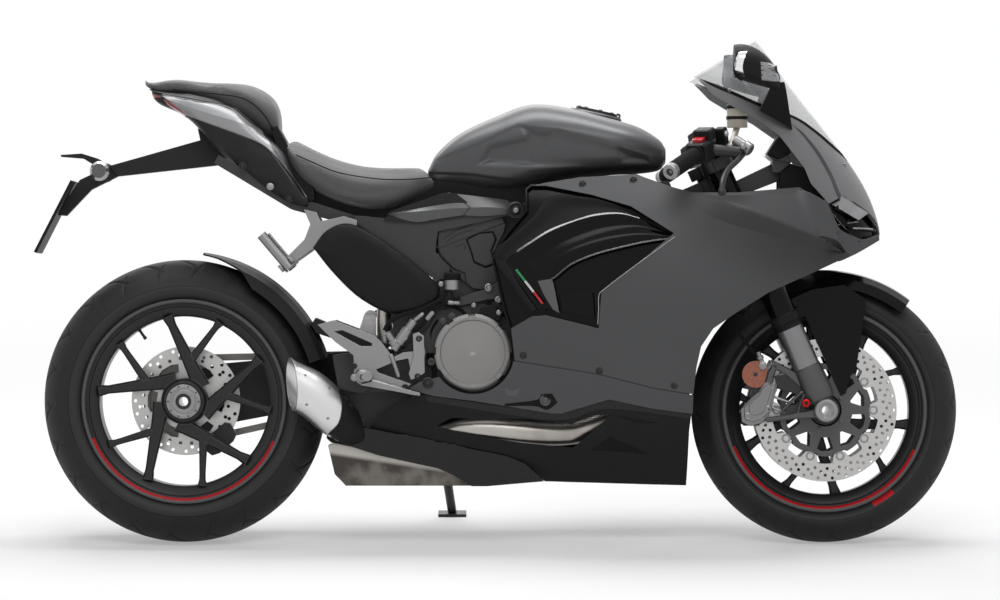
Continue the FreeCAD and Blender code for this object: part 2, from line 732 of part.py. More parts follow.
def make_rear_brackets():
    beam = side_plate(polygon_face([
        (-690, 930), (-684, 903), (-889, 845), (-869, 822), (-634, 848), (-620, 890),
    ]), -22, 22)
    arm = side_plate(polygon_face([
        (-889, 845), (-955, 814), (-1008, 735), (-985, 733), (-929, 792), (-869, 822),
    ]), -16, 16)
    fin = side_plate(polygon_face([
        (-997, 870), (-950, 873), (-915, 862), (-889, 847), (-884, 835), (-911, 840), (-947, 862),
        (-997, 866),
    ]), -26, 26)
    cross = Part.makeCylinder(8, 210, Vector(-905, -105, 832), Vector(0, 1, 0))
    bracket = fused(beam, arm, fin, cross)
    plate = side_plate(polygon_face([
        (-965, 810), (-971, 812), (-1053, 652), (-1047, 649),
    ]), -size("plate_width") / 2, size("plate_width") / 2)
    keep_shape("plate_bracket", biggest(bracket.cut(tail_solid()).cut(plate)))
    keep_shape("number_plate", plate)
    right = Part.makeCone(22, 16, 26, Vector(-905, -105, 832), Vector(0, -1, 0))
    keep_pair("rear_indicators", right)


# The fairing
def fairing_half_width(x, z):
    """Half width of the side fairing: widest beside the radiator, tucked in at nose, top and belly."""
    if x < 430:
        plan = 1 - 0.2 * ((430 - x) / 454) ** 1.3
    else:
        plan = 1 - 0.85 * ((x - 430) / 440) ** 2.2
    if z > 560:
        upright = 1 - 0.2 * ((z - 560) / 264) ** 2
    else:
        upright = 1 - 0.07 * ((560 - z) / 230) ** 2
    if z < 330:
        upright -= 0.4 * ((330 - z) / 200) ** 1.6
    return size("fairing_half") * plan * upright


def guard_half_width(x, z):
    """Half width of the exhaust guard: it leans outwards beside the collector."""
    return 103 + 0.14 * (z - 130)


def side_skin(inset, wall, half_width=fairing_half_width):
    """A sheet that follows the right side of the fairing, inset from it and with the wall inwards."""
    x_from, x_to, z_from, z_to = -420, 800, 100, 850
    columns, rows = 20, 13
    grid = []
    for i in range(columns + 1):
        x = x_from + (x_to - x_from) * i / columns
        heights = [z_from + (z_to - z_from) * j / rows for j in range(rows + 1)]
        grid.append([Vector(x, inset - half_width(x, z), z) for z in heights])
    surface = Part.BSplineSurface()
    surface.interpolate(grid)
    return surface.toShape().extrude(Vector(0, wall, 0))


VENT = [
    (60, 798), (91, 798), (192, 778), (280, 752), (375, 692), (315, 642), (214, 562), (208, 481),
    (92, 510), (61, 508), (14, 481),
]
VENT_REAR = [(1, 522), (-24, 630), (-23, 648), (12, 697), (50, 742), (50, 790)]
SIDE_EDGE = [
    (22, 410), (210, 380), (327, 350), (418, 335), (425, 396), (435, 441), (462, 481), (513, 516),
    (586, 561), (702, 612), (772, 644), (752, 662), (732, 702), (722, 757), (656, 795), (516, 783),
    (415, 783), (365, 797), (310, 817), (293, 824), (167, 817), (92, 805),
]
LOWER_EDGE = [
    (20, 408), (210, 378), (327, 348), (418, 333), (417, 291), (327, 303), (231, 323), (124, 291),
    (102, 292), (-67, 319), (-157, 330), (-216, 345), (-189, 362), (-150, 372),
]


def make_side_fairings():
    skin = side_skin(0, size("panel_wall"))
    panel_face = polygon_face(VENT + SIDE_EDGE)
    panel = skin.common(side_plate(panel_face, -300, -5))
    keep_pair("side_panels", biggest(panel))
    clutch_room = Part.makeCylinder(
        size("clutch_radius") + 6, 300, Vector(size("crank_x"), -300, size("crank_z")), Vector(0, 1, 0),
    )
    lower = skin.common(side_plate(polygon_face(LOWER_EDGE), -300, -5))
    lip_edge = [
        (20, 400), (24, 416), (210, 388), (327, 358), (410, 343), (410, 325), (327, 340), (210, 370),
    ]
    lip = side_skin(size("panel_wall"), 2).common(side_plate(polygon_face(lip_edge), -300, -5))
    lower = biggest(fused(lower, lip).cut(clutch_room))
    chain_room = Part.makeBox(400, 200, 300, Vector(-510, 0, 200))
    keep_shape("lower_panels", lower, biggest(mirrored(lower).cut(chain_room)))
    belly_edge = [
        (-296, 268), (-300, 258), (4, 198), (90, 138), (327, 131), (406, 129), (410, 255), (415, 299),
        (327, 312), (231, 332), (124, 299), (102, 300), (-67, 327), (-157, 335), (-195, 330),
        (-235, 318),
    ]
    window = [
        (-151, 263), (-120, 281), (50, 279), (150, 268), (187, 287), (237, 290), (200, 255), (152, 215),
        (34, 226), (-80, 245),
    ]
    belly_skin = side_skin(size("panel_wall"), size("panel_wall"))
    belly = belly_skin.common(side_plate(
        polygon_face(belly_edge), -300, -5,
    )).cut(side_plate(polygon_face(window), -300, -5))
    belly = biggest(belly.cut(Part.makeCompound(finished["lower_panels"])))
    stand_room = Part.makeBox(150, 200, 200, Vector(-235, 0, 200))
    keep_shape("belly_panels", belly, biggest(mirrored(belly).cut(stand_room)))
    duct_face = polygon_face(VENT + VENT_REAR)
    deep = size("duct_inset")
    wide = duct_face.makeOffset2D(4)
    core = side_skin(size("panel_wall"), deep)
    hollow = side_skin(0, deep)
    dish = core.common(side_plate(wide, -300, -5)).cut(hollow.common(side_plate(duct_face, -300, -5)))
    keep_pair("side_ducts", biggest(dish))


def keep_pair(name, right):
    """A piece of the right side together with its mirror image on the left."""
    keep_shape(name, right, mirrored(right))


def upper_station(x):
    """Half width, lower edge and ridge height of the nose and screen at x."""
    table = [
        (410, 160, 1022, 1222), (500, 163, 970, 1168), (565, 165, 935, 1126), (616, 158, 893, 1059),
        (660, 150, 835, 1000), (722, 128, 750, 922), (774, 112, 690, 852), (810, 80, 660, 794),
        (842, 34, 655, 706),
    ]
    for (x0, *low), (x1, *high) in zip(table, table[1:]):
        if x0 <= x <= x1:
            share = (x - x0) / (x1 - x0)
            return [a + share * (b - a) for a, b in zip(low, high)]


def arch_wire(x, inset, thick):
    """A thin arch across the bike at x: outer and inner half ellipses joined at their feet."""
    half, low, ridge = upper_station(x)
    curves = []
    for depth in (inset, inset + thick):
        points = []
        for step in range(13):
            turn = math.pi * step / 12
            y = -(half - depth) * math.cos(turn)
            z = low + (ridge - depth * 1.3 - low) * math.sin(turn) ** 0.9
            points.append(Vector(x, y, z))
        curve = Part.BSplineCurve()
        curve.interpolate(points)
        curves.append((curve.toShape(), points))
    outer, inner = curves
    joins = [Part.makeLine(outer[1][-1], inner[1][-1]), Part.makeLine(inner[1][0], outer[1][0])]
    return Part.Wire([outer[0], joins[0], inner[0], joins[1]])


def upper_shell(x_from, x_to, inset, thick):
    stations = [x_from] + [x for x in (500, 565, 616, 660, 722, 774, 810) if x_from < x < x_to] + [x_to]
    return Part.makeLoft([arch_wire(x, inset, thick) for x in stations], True, False)


SCREEN_BASE = [(430, 1035), (561, 978), (655, 949), (775, 852)]


def make_nose():
    shell = upper_shell(412, 842, 0, size("screen_wall"))
    screen_zone = [(420, 1040), (565, 1127), (640, 1080), (830, 852)] + SCREEN_BASE[::-1]
    screen = shell.common(side_plate(polygon_face(screen_zone), -300, 300))
    keep_shape("windscreen", biggest(screen))
    cowl_zone = SCREEN_BASE + [
        (860, 852), (860, 640), (780, 655), (752, 664), (734, 704), (724, 757), (682, 803), (667, 838),
        (610, 911), (565, 943), (500, 978), (465, 999),
    ]
    lamp = [(721, 758), (752, 775), (812, 742), (850, 699), (850, 688), (772, 662), (752, 662)]
    lamp_right = side_plate(polygon_face(lamp), -300, -24)
    cowl = shell.common(side_plate(
        polygon_face(cowl_zone), -300, 300,
    )).cut(lamp_right).cut(mirrored(lamp_right))
    keep_shape("nose_cowl", biggest(cowl))
    behind = size("screen_wall") + size("seat_gap")
    core = upper_shell(700, 841, behind, 26)
    around = [(715, 762), (752, 782), (818, 745), (850, 703), (850, 682), (772, 655), (745, 655)]
    unit = core.common(side_plate(polygon_face(around), -300, -18))
    mouth = [(727, 756), (752, 768), (808, 738), (838, 702), (838, 692), (771, 669), (756, 669)]
    hollow = upper_shell(690, 842, 0, 20).common(side_plate(polygon_face(mouth), -300, -30))
    brow = [(734, 748), (752, 762), (800, 734), (788, 722)]
    strip = [(766, 704), (772, 709), (838, 702), (838, 697)]
    ledges = [side_plate(polygon_face(ledge), -300, -26) for ledge in (brow, strip)]
    slats = upper_shell(700, 841, behind + 3, 20).common(Part.makeCompound(ledges))
    unit = fused(unit.cut(hollow), *slats.Solids)
    keep_pair("headlights", biggest(unit.cut(cowl)))


def make_nose_stay():
    """The stay that carries the nose: from the head tube to the dash, headlights and fairing."""
    dash = side_plate(polygon_face([(615, 909), (586, 870), (597, 859), (642, 852)]), -78, 78)
    shell = upper_shell(412, 842, 0, size("screen_wall"))
    stay = side_plate(polygon_face([
        (475, 790), (600, 850), (640, 840), (700, 770), (735, 700), (725, 690), (680, 752), (625, 815),
        (485, 760),
    ]), -14, 14)
    foot = side_plate(polygon_face([(600, 830), (640, 830), (640, 860), (600, 865)]), -60, 60)
    arm = side_plate(polygon_face([(700, 766), (716, 766), (745, 700), (725, 690), (690, 745)]), -160, 160)
    covers = Part.makeCompound(finished["side_panels"] + finished["headlights"])
    stay = fused(stay, foot, arm)
    stem_tube = rod(head - AXIS_UP * 100, head + AXIS_UP * 100, size("head_tube_radius"))
    keep_shape("nose_stay", biggest(stay.cut(dash).cut(stem_tube).cut(shell).cut(covers)), dash)


def make_mirrors():
    y = size("mirror_y")
    rear = [(505, 1070, 72, 36), (530, 1066, 78, 40), (570, 1050, 66, 36), (605, 1022, 30, 16)]
    sections = []
    for x, z, half_y, half_z in rear:
        ring = rounded_section(x, z - half_z, z + half_z, half_y, 2.5)
        ring.translate(Vector(0, -y, 0))
        sections.append(ring)
    housing = Part.makeLoft(sections, True, False)
    blade = side_plate(polygon_face([(566, 966), (640, 924), (616, 1024), (590, 1024)]), 8 - y, -132)
    slope = [
        Vector(500, -132, 978), Vector(500, 8 - y, 1036), Vector(500, 8 - y, 1008),
        Vector(500, -132, 912),
    ]
    blade = blade.common(Part.Face(Part.makePolygon(slope + slope[:1])).extrude(Vector(200, 0, 0)))
    shell = upper_shell(412, 842, 0, size("screen_wall"))
    outside = min(blade.cut(shell).Solids, key=lambda solid: solid.CenterOfMass.y)
    keep_pair("mirrors", fused(housing, outside))


# Radiator, exhaust
def make_radiator():
    core = side_plate(polygon_face([(392, 622), (416, 628), (398, 405), (374, 405)]), -165, 165)
    arms = side_plate(polygon_face([(330, 425), (330, 450), (390, 450), (390, 425)]), -45, 45)
    keep_shape("radiator", biggest(fused(core, arms).cut(case_block())))


def pipe(points, radius):
    """A round pipe along a smooth path."""
    path = Part.BSplineCurve()
    path.interpolate([Vector(*point) for point in points])
    edge = path.toShape()
    start = edge.Curve.value(edge.FirstParameter)
    along = edge.tangentAt(edge.FirstParameter)
    ring = Part.Wire(Part.makeCircle(radius, start, along))
    return Part.Wire(edge).makePipeShell([ring], True, True)


def make_exhaust():
    box = side_plate(polygon_face([
        (-395, 219), (-380, 155), (-355, 129), (-74, 129), (-55, 155), (-90, 215), (-200, 245),
        (-330, 240),
    ]), -96, 80)
    front = pipe([
        (300, -40, 395), (300, -62, 335), (240, -92, 282), (170, -103, 252), (97, -105, 246),
        (-56, -100, 256), (-150, -75, 236),
    ], 27)
    block = case_block()
    front = front.cut(block).cut(box)
    keep_shape("exhaust_collector", box)
    rear = pipe([
        (-120, 0, 660), (-215, 0, 640), (-263, 0, 560), (-263, 0, 400), (-258, 0, 300), (-250, 0, 235),
    ], 18)
    keep_shape("exhaust_headers", biggest(front), biggest(rear.cut(block).cut(box)))
    body = [
        ((-318, -84, 246), 30, 34), ((-350, -108, 272), 40, 50), ((-391, -128, 303), 47, 67),
        ((-432, -142, 331), 47, 64), ((-474, -152, 357), 46, 60),
    ]
    mouth = [((-478, -153, 360), 42, 56), ((-446, -145, 339), 40, 52), ((-424, -139, 325), 26, 30)]
    can = Part.makeLoft([can_ring(*station) for station in body], True, False)
    can = can.cut(Part.makeLoft([can_ring(*station) for station in mouth], True, False))
    keep_shape("silencer", biggest(can.cut(box)))


def can_ring(place, across, high):
    """An oval section of the can, square to the way that it points: back and a little outwards."""
    ring = Part.Wire(Part.Ellipse(Vector(0, 0, 0), high, across).toShape())
    ring.Placement = Placement(
        Vector(*place), Rotation(Vector(-0.067, 0, 0.998), Vector(), Vector(-0.95, -0.3, -0.064), "XZY"),
    )
    return ring


# Swingarm, hugger, shock, chain
def swingarm_beam():
    """The single beam on the left, beside the tyre."""
    outline = [
        (-718, 380), (-640, 400), (-300, 432), (-270, 420), (-270, 340), (-330, 320), (-640, 262),
        (-718, 254),
    ]
    return side_plate(polygon_face(outline), size("arm_inner_y"), size("arm_outer_y"))


def make_swingarm():
    outer = size("arm_outer_y")
    beam = swingarm_beam()
    hub = Part.makeCylinder(64, outer - 34, Vector(rear_axle.x, 34, rear_axle.z), Vector(0, 1, 0))
    cross = side_plate(polygon_face([
        (-385, 420), (-300, 432), (-292, 420), (-292, 350), (-320, 335), (-372, 345),
    ]), -92, outer)
    lug = side_plate(polygon_face([
        (-385, 420), (-300, 432), (-200, 410), (-165, 395), (-160, 360), (-200, 345), (-320, 335),
        (-372, 345),
    ]), 60, 84)
    lugs = [lug, mirrored(lug)]
    arm = fused(beam, hub, cross, *lugs)
    pin_room = swing_pin(size("pivot_radius"), 200)
    axle_room = Part.makeCylinder(
        size("rear_axle_radius") + size("running_gap"), 400, Vector(rear_axle.x, -100, rear_axle.z),
        Vector(0, 1, 0),
    )
    tyre_room = Part.makeCylinder(
        size("rear_radius") + 8, 2 * 98, Vector(rear_axle.x, -98, rear_axle.z), Vector(0, 1, 0),
    )
    wheel_room = tyre_room.cut(Part.makeCylinder(
        170, 400, Vector(rear_axle.x, -200, rear_axle.z), Vector(0, 1, 0),
    ))
    arm = biggest(arm.cut(pin_room).cut(axle_room).cut(wheel_room))
    keep_shape("swingarm", arm, swing_pin(size("pivot_radius"), 100))


def make_rear_caliper():
    """The rear caliper below the arm's hub, slotted round the disc, with its lug on the hub."""
    y = size("rear_disc_y")
    corners = [(94, -34), (104, -42), (132, -36), (139, -20), (139, 20), (132, 36), (104, 42), (94, 34)]
    lug = [(60, -12), (96, -24), (112, -24), (112, 24), (96, 24), (60, 12)]
    out, along = Vector(73, 0, -84).normalize(), Vector(84, 0, 73).normalize()

    def face(outline):
        places = [rear_axle + out * a + along * b for a, b in outline]
        return polygon_face([(p.x, p.z) for p in places])

    body = side_plate(face(corners), y - 18, y + 18)
    slot = across_bar(size("rear_disc_radius") + 5, y - 5, y + 5, rear_axle)
    bolts = [across_bar(7, y + 18, y + 25, rear_axle + out * 112 + along * side) for side in (-28, 28)]
    caliper = fused(body.cut(slot), side_plate(face(lug), y + 12, y + 22), *bolts)
    keep_shape("rear_caliper", biggest(caliper.cut(Part.makeCompound(finished["swingarm"]))))


def make_hugger():
    """The hugger: an arch over the front of the rear tyre, pointed at its tail, with a tongue on the arm."""
    r0 = size("rear_radius") + 7
    outer = [
        (r0 - 30, 94), (r0 - 8, 80), (r0 + 3, 44), (r0 + 9, 0), (r0 + 3, -44), (r0 - 8, -80),
        (r0 - 30, -94),
    ]
    inner = [(r + 3.5, y * 1.03) for r, y in outer[::-1]]
    corners = [Vector(rear_axle.x + r, y, rear_axle.z) for r, y in outer + inner]
    face = Part.Face(Part.makePolygon(corners + corners[:1]))
    sweep = part_turn(face, rear_axle, 17, 66)
    plan = [(-360, 110), (-540, 110), (-692, 14), (-692, -14), (-540, -110), (-360, -110)]
    plan_corners = [Vector(x, y, 300) for x, y in plan]
    above = Part.Face(Part.makePolygon(plan_corners + plan_corners[:1])).extrude(Vector(0, 0, 500))
    tongue = side_plate(polygon_face([
        (-442, 476), (-424, 504), (-300, 452), (-296, 432), (-330, 440),
    ]), -60, 60)
    tongue = tongue.cut(across_bar(r0 + 8, -100, 100, rear_axle))
    keep_shape("rear_hugger", biggest(fused(sweep.common(above), tongue)))


def make_shock():
    low, high = Vector(-305, 134, 508), Vector(-62, 134, 622)
    along = high - low
    body = rod(low, high, 10)
    spring = rod(low + along * 0.2, high - along * 0.25, 25)
    reservoir = rod(high - along * 0.28, high - along * 0.06, 21)
    eyes = [Part.makeCylinder(13, 20, Vector(p.x, p.y - 10, p.z), Vector(0, 1, 0)) for p in (low, high)]
    rear_lug = side_plate(polygon_face([(-345, 428), (-290, 428), (-292, 512), (-318, 512)]), 104, 124)
    front_lug = rod(Vector(high.x, 90, high.z), Vector(high.x, 124, high.z), 13)
    keep_shape("shock", fused(body, spring, reservoir, *eyes), rear_lug.cut(swingarm_beam()), front_lug)


def make_chain():
    y = size("chain_y")
    front = Vector(-118, 0, 390)
    big, small = size("sprocket_radius") - 3, size("front_sprocket_radius")
    gap = front - rear_axle
    half = size("chain_height") / 2
    distance = gap.Length
    direction = math.atan2(gap.z, gap.x)
    spread = math.acos((big - small) / distance)

    def loop(extra):
        at = [rear_axle, rear_axle, front, front]
        turns = [direction + spread, direction - spread, direction - spread, direction + spread]
        radii = [big + extra, big + extra, small + extra, small + extra]
        ends = [Vector(
            c.x + r * math.cos(a), 0, c.z + r * math.sin(a),
        ) for c, r, a in zip(at, radii, turns)]
        back = Vector(
            rear_axle.x - radii[0] * math.cos(direction), 0,
            rear_axle.z - radii[0] * math.sin(direction),
        )
        nose = Vector(front.x + radii[2] * math.cos(direction), 0, front.z + radii[2] * math.sin(direction))
        edges = [Part.Arc(ends[0], back, ends[1]).toShape(), Part.makeLine(ends[1], ends[2])]
        edges += [Part.Arc(ends[2], nose, ends[3]).toShape(), Part.makeLine(ends[3], ends[0])]
        return Part.Face(Part.Wire(edges))

    band = loop(half).cut(loop(-half))
    chain = side_plate(band, y - size("chain_width") / 2, y + size("chain_width") / 2)
    rear_disc = Part.makeCylinder(
        size("sprocket_radius") + 1, 7, Vector(rear_axle.x, y - 3.5, rear_axle.z), Vector(0, 1, 0),
    )
    sprocket = toothed_plate(size("front_sprocket_radius") - 8.2, 14, y, 12, front, 9)
    case_side = size("case_half") - 10
    shaft = Part.makeCylinder(9, y + 14 - case_side, Vector(front.x, case_side, front.z), Vector(0, 1, 0))
    keep_shape("chain_drive", biggest(chain.cut(rear_disc)), sprocket, shaft)


# Foot controls and pegs
def make_footrests():
    plate = polygon_face([
        (-417, 489), (-382, 499), (-290, 464), (-276, 452), (-249, 416), (-227, 427), (-200, 430),
        (-200, 470), (-191, 470), (-182, 454), (-177, 427), (-182, 396), (-209, 382), (-215, 414),
        (-240, 409), (-287, 389), (-281, 382), (-209, 357), (-218, 348), (-292, 357), (-335, 369),
        (-337, 421), (-377, 450),
    ])
    hole = polygon_face([(-381, 474), (-362, 477), (-294, 447), (-296, 441), (-321, 441)])
    base = side_plate(plate, -138, -130).cut(side_plate(hole, -200, -100))
    foot = rod(Vector(-305, -138, 375), Vector(-305, -215, 375), 11)
    pedal = side_plate(polygon_face([(-321, 355), (-189, 331), (-188, 337), (-292, 364)]), -162, -138)
    case_side = size("case_half") - 10
    outward = Vector(0, size("left_foot_out"), 0)
    right_mount = Part.makeCylinder(8, 130 - case_side, Vector(-190, -130, 447), Vector(0, 1, 0))
    left_mount = Part.makeCylinder(
        8, 130 - case_side + outward.y, Vector(-190, case_side, 447), Vector(0, 1, 0),
    )
    right = [fused(base, foot, pedal), right_mount]
    keep_shape("footrests", *right, mirrored(right[0]).translated(outward), left_mount)


PILLION_FOLDED = Vector(-55, 0, 65).normalize()
PILLION_HINGE = Vector(65, 0, 55).normalize()


def make_pillion_pegs():
    """Folding pegs of the passenger, stored folded up beside their brackets."""
    outline = [
        (-448, 746), (-420, 740), (-411, 720), (-359, 731), (-330, 722), (-330, 706), (-393, 684),
        (-469, 630), (-488, 612), (-501, 630), (-483, 643), (-447, 679), (-434, 713),
    ]
    bracket = side_plate(polygon_face(outline), -116, -104)
    pivot = Vector(-487, -size("peg_pivot_y"), 624)
    radius, pin = size("peg_radius"), 4
    peg = rod(pivot - PILLION_FOLDED * radius, pivot + PILLION_FOLDED * size("peg_length"), radius)
    peg = peg.cut(rod(pivot - PILLION_HINGE * 40, pivot + PILLION_HINGE * 40, pin + size("running_gap")))
    hinge = [bracket, rod(pivot - PILLION_HINGE * 18, pivot + PILLION_HINGE * 18, pin)]
    for way in (-1, 1):
        cheek = pivot + PILLION_HINGE * (way * 15)
        hinge.append(rod(cheek - PILLION_HINGE * 3, cheek + PILLION_HINGE * 3, 9))
        hinge.append(rod(cheek, cheek + Vector(0, 20, 0), 3))
    keep_pair("pillion_brackets", fused(*hinge))
    keep_shape("pillion_peg_right", peg)
    keep_shape("pillion_peg_left", mirrored(peg))


# Steering
def steering_axis_point(along):
    return head + AXIS_UP * along


def leg_point(side, reach):
    """A point of a fork leg, measured up the leg from the axle."""
    return Vector(front_axle.x, side * size("fork_spacing") / 2, front_axle.z) + AXIS_UP * reach


def make_fork():
    bottom, split = 8, 300
    half_foot = size("fork_foot_width") / 2
    tubes, sliders = [], []
    for side in (-1, 1):
        tubes.append(rod(
            leg_point(side, split), leg_point(side, size("fork_reach")), size("upper_tube_radius"),
        ))
        slider = rod(leg_point(side, bottom), leg_point(side, split), size("slider_radius"))
        y = side * size("fork_spacing") / 2
        foot = across_bar(27, y - half_foot, y + half_foot, front_axle)
        sliders.append(fused(slider, foot).cut(across_bar(
            size("front_axle_radius"), -200, 200, front_axle,
        )))
    keep_shape("fork_tubes", *tubes)
    keep_shape("fork_sliders", *sliders)


def fork_clamp(reach):
    """A clamp plate across both fork tubes, square to the steering axis."""
    half, thick = size("fork_spacing") / 2, size("clamp_thickness")
    right = [
        (-60, -24), (-62, 24), (-40, 44), (-12, half - 8), (-24, half + 14), (-8, half + 38),
        (20, half + 38), (26, half - 10), (8, 40),
    ]
    outline = [(
        forward, -y,
    ) for forward, y in right[::-1] if y > 24] + [(forward, y) for forward, y in right if y >= 24]
    base = leg_point(0, reach) - AXIS_UP * (thick / 2)
    corners = [base + AXIS_FORWARD * forward + Vector(0, y, 0) for forward, y in outline]
    plate = Part.Face(Part.makePolygon(corners + corners[:1])).extrude(AXIS_UP * thick)
    bosses = [rod(
        leg_point(side, reach - thick / 2), leg_point(side, reach + thick / 2), 37,
    ) for side in (-1, 1)]
    plate = fused(plate, *bosses)
    for side in (-1, 1):
        plate = plate.cut(rod(
            leg_point(side, reach - 60), leg_point(side, reach + 60), size("upper_tube_radius"),
        ))
    return plate.cut(rod(head - AXIS_UP * 200, head + AXIS_UP * 200, size("stem_radius")))


def make_fork_clamps():
    stem = rod(head - AXIS_UP * 100, head + AXIS_UP * 90, size("stem_radius"))
    keep_shape("fork_clamps", fork_clamp(430), fork_clamp(600), stem)


def make_front_axle():
    outer_end = size("fork_spacing") / 2 + size("fork_foot_width") / 2 + 1
    axle = across_bar(size("front_axle_radius"), -outer_end, outer_end, front_axle)
    near = size("front_hub_width") / 2 + 0.5
    far = size("fork_spacing") / 2 - size("fork_foot_width") / 2
    collars = [across_bar(20, near, far, front_axle), across_bar(20, -far, -near, front_axle)]
    bore = across_bar(size("front_axle_bore"), -200, 200, front_axle)
    keep_shape("front_axle", fused(axle, *collars).cut(bore))


def across_bar(radius, y_from, y_to, centre):
    """A round bar across the bike, about a point of the side view."""
    return Part.makeCylinder(radius, y_to - y_from, Vector(centre.x, y_from, centre.z), Vector(0, 1, 0))


def make_handlebars():
    """Clip-ons, grips, levers and the fluid cup, all placed from the clip-on's ring on the fork leg."""
    top = size("fork_reach")
    inner = leg_point(-1, top - 17) + Vector(17.4, -23, 5.8)
    along = Vector(-107, -202, -73).normalize()
    end = inner + along * size("clip_on_length")
    tube = rod(inner, end - along * 12, size("bar_radius"))
    ring = rod(leg_point(-1, top - 30), leg_point(-1, top - 4), size("upper_tube_radius") + 10)
    tube_room = rod(leg_point(-1, top - 80), leg_point(-1, top + 20), size("upper_tube_radius"))
    weight = rod(end - along * 12, end, size("grip_radius"))
    hole = rod(end - along * 20, end + along, size("bar_end_hole"))
    clip_on = fused(tube, ring, weight).cut(tube_room).cut(hole)
    keep_pair("clip_ons", biggest(clip_on))
    grip = rod(end - along * (size("grip_length") + 14), end - along * 13, size("grip_radius")).cut(tube)
    keep_pair("grips", grip)
    seat = inner + along * 62
    clamp = rod(seat - along * 12, seat + along * 12, size("bar_radius") + 6)
    perch = fused(clamp, rod(seat, inner + Vector(58, -58, -26), 13)).cut(tube)
    perch = biggest(perch)
    bends = [(58, -62, -30), (42, -100, -48), (20, -160, -70), (9, -197, -96), (7, -207, -112)]
    lever = pipe([inner + Vector(*bend) for bend in bends], 6.5).cut(perch)
    lever = biggest(lever)
    keep_shape("hand_levers", perch, lever, mirrored(perch), mirrored(lever))
    cup = Part.makeCylinder(23, 44, inner + Vector(48, 0, 30))
    cup = fused(cup, rod(inner + Vector(30, -52, -20), inner + Vector(48, -4, 32), 7)).cut(perch)
    keep_shape("brake_reservoir", biggest(cup.cut(lever)))


def make_fender():
    r0 = size("front_radius") + 9
    outer = [
        (r0 - 34, 68), (r0 - 12, 54), (r0 + 1, 28), (r0 + 4, 0), (r0 + 1, -28), (r0 - 12, -54),
        (r0 - 34, -68),
    ]
    inner = [(r + 3, y * 1.05) for r, y in outer[::-1]]
    corners = [Vector(front_axle.x + r, y, front_axle.z) for r, y in outer + inner]
    face = Part.Face(Part.makePolygon(corners + corners[:1]))
    sweep = part_turn(face, front_axle, 52, 68)
    side_face_points = [
        (642, 504), (673, 506), (752, 330), (763, 335), (774, 375), (786, 385), (804, 506), (809, 545),
        (760, 578), (690, 568), (640, 545),
    ]
    wing = side_plate(polygon_face(side_face_points), -74, -70)
    bosses = [rod(Vector(652, -72, 522), Vector(622, -95, 522), 7)]
    wings = [wing, mirrored(wing)] + bosses + [mirrored(b) for b in bosses]
    slider = rod(leg_point(-1, 20), leg_point(-1, 300), size("slider_radius"))
    fender = fused(sweep, *wings).cut(slider).cut(mirrored(slider))
    keep_shape("front_fender", biggest(fender))


def make_calipers():
    outline = [
        (563, 392), (601, 380), (613, 369), (608, 342), (592, 310), (583, 274), (563, 263), (534, 263),
        (527, 285), (543, 308), (552, 342), (534, 346),
    ]
    body = side_plate(polygon_face(outline), -100, -46)
    y = size("front_disc_y")
    slot = Part.makeCylinder(
        size("front_disc_radius") + 5, 10, Vector(front_axle.x, -y - 5, front_axle.z), Vector(0, 1, 0),
    )
    lug = side_plate(polygon_face([(600, 375), (612, 345), (665, 330), (668, 380)]), -110, -92)
    slider = rod(leg_point(-1, 20), leg_point(-1, 300), size("slider_radius"))
    caliper = fused(body.cut(slot), lug).cut(slider)
    keep_pair("front_calipers", biggest(caliper))
    disc = Part.makeCylinder(30, 6, Vector(560, -106, 378), Vector(0, 1, 0))
    keep_pair("reflectors", disc)


def hose(points, bend, radius):
    """A hose of straight runs, with an arc that touches both runs at each corner."""
    edges, start = [], points[0]
    for before, corner, after in zip(points, points[1:], points[2:]):
        back, on = Vector(before - corner).normalize(), Vector(after - corner).normalize()
        half = back.getAngle(on) / 2
        reach = bend / math.tan(half)
        first, last = corner + back * reach, corner + on * reach
        middle = corner + Vector(back + on).normalize() * (bend / math.sin(half) - bend)
        edges += [Part.makeLine(start, first), Part.Arc(first, middle, last).toShape()]
        start = last
    edges.append(Part.makeLine(start, points[-1]))
    ring = Part.Wire(Part.makeCircle(radius, points[0], points[1] - points[0]))
    return Part.Wire(edges).makePipeShell([ring], True, True)


def make_brake_hoses():
    """The hoses from under the lower clamp down to the front calipers."""
    top = leg_point(
        0, 430 - size("clamp_thickness") / 2,
    ) - AXIS_FORWARD * 22 - Vector(0, size("fork_spacing") / 2 - 26, 0)
    route = [
        top, top - AXIS_UP * 50, Vector(516, -98, 548), Vector(516, -98, 478), Vector(562, -86, 420),
        Vector(574, -86, 380),
    ]
    right = hose(route, 26, size("hose_radius")).cut(Part.makeCompound(finished["front_calipers"]))
    keep_pair("brake_hoses", biggest(right))


# Side stand
def stand_points():
    """The stand's pivot, its foot, its hinge axis and the direction square to the ground once leaned."""
    pivot = Vector(-150, 128, 262)
    foot_y = size("stand_foot_y")
    ground_up = Vector(0, -math.sin(LEAN), math.cos(LEAN))
    foot = Vector(-120, foot_y, foot_y * math.tan(LEAN) - rear_rise / math.cos(LEAN))
    folded = Vector(-0.98, 0.03, -0.12)
    axis = (foot - pivot).cross(folded)
    axis.normalize()
    return pivot, foot, axis, ground_up


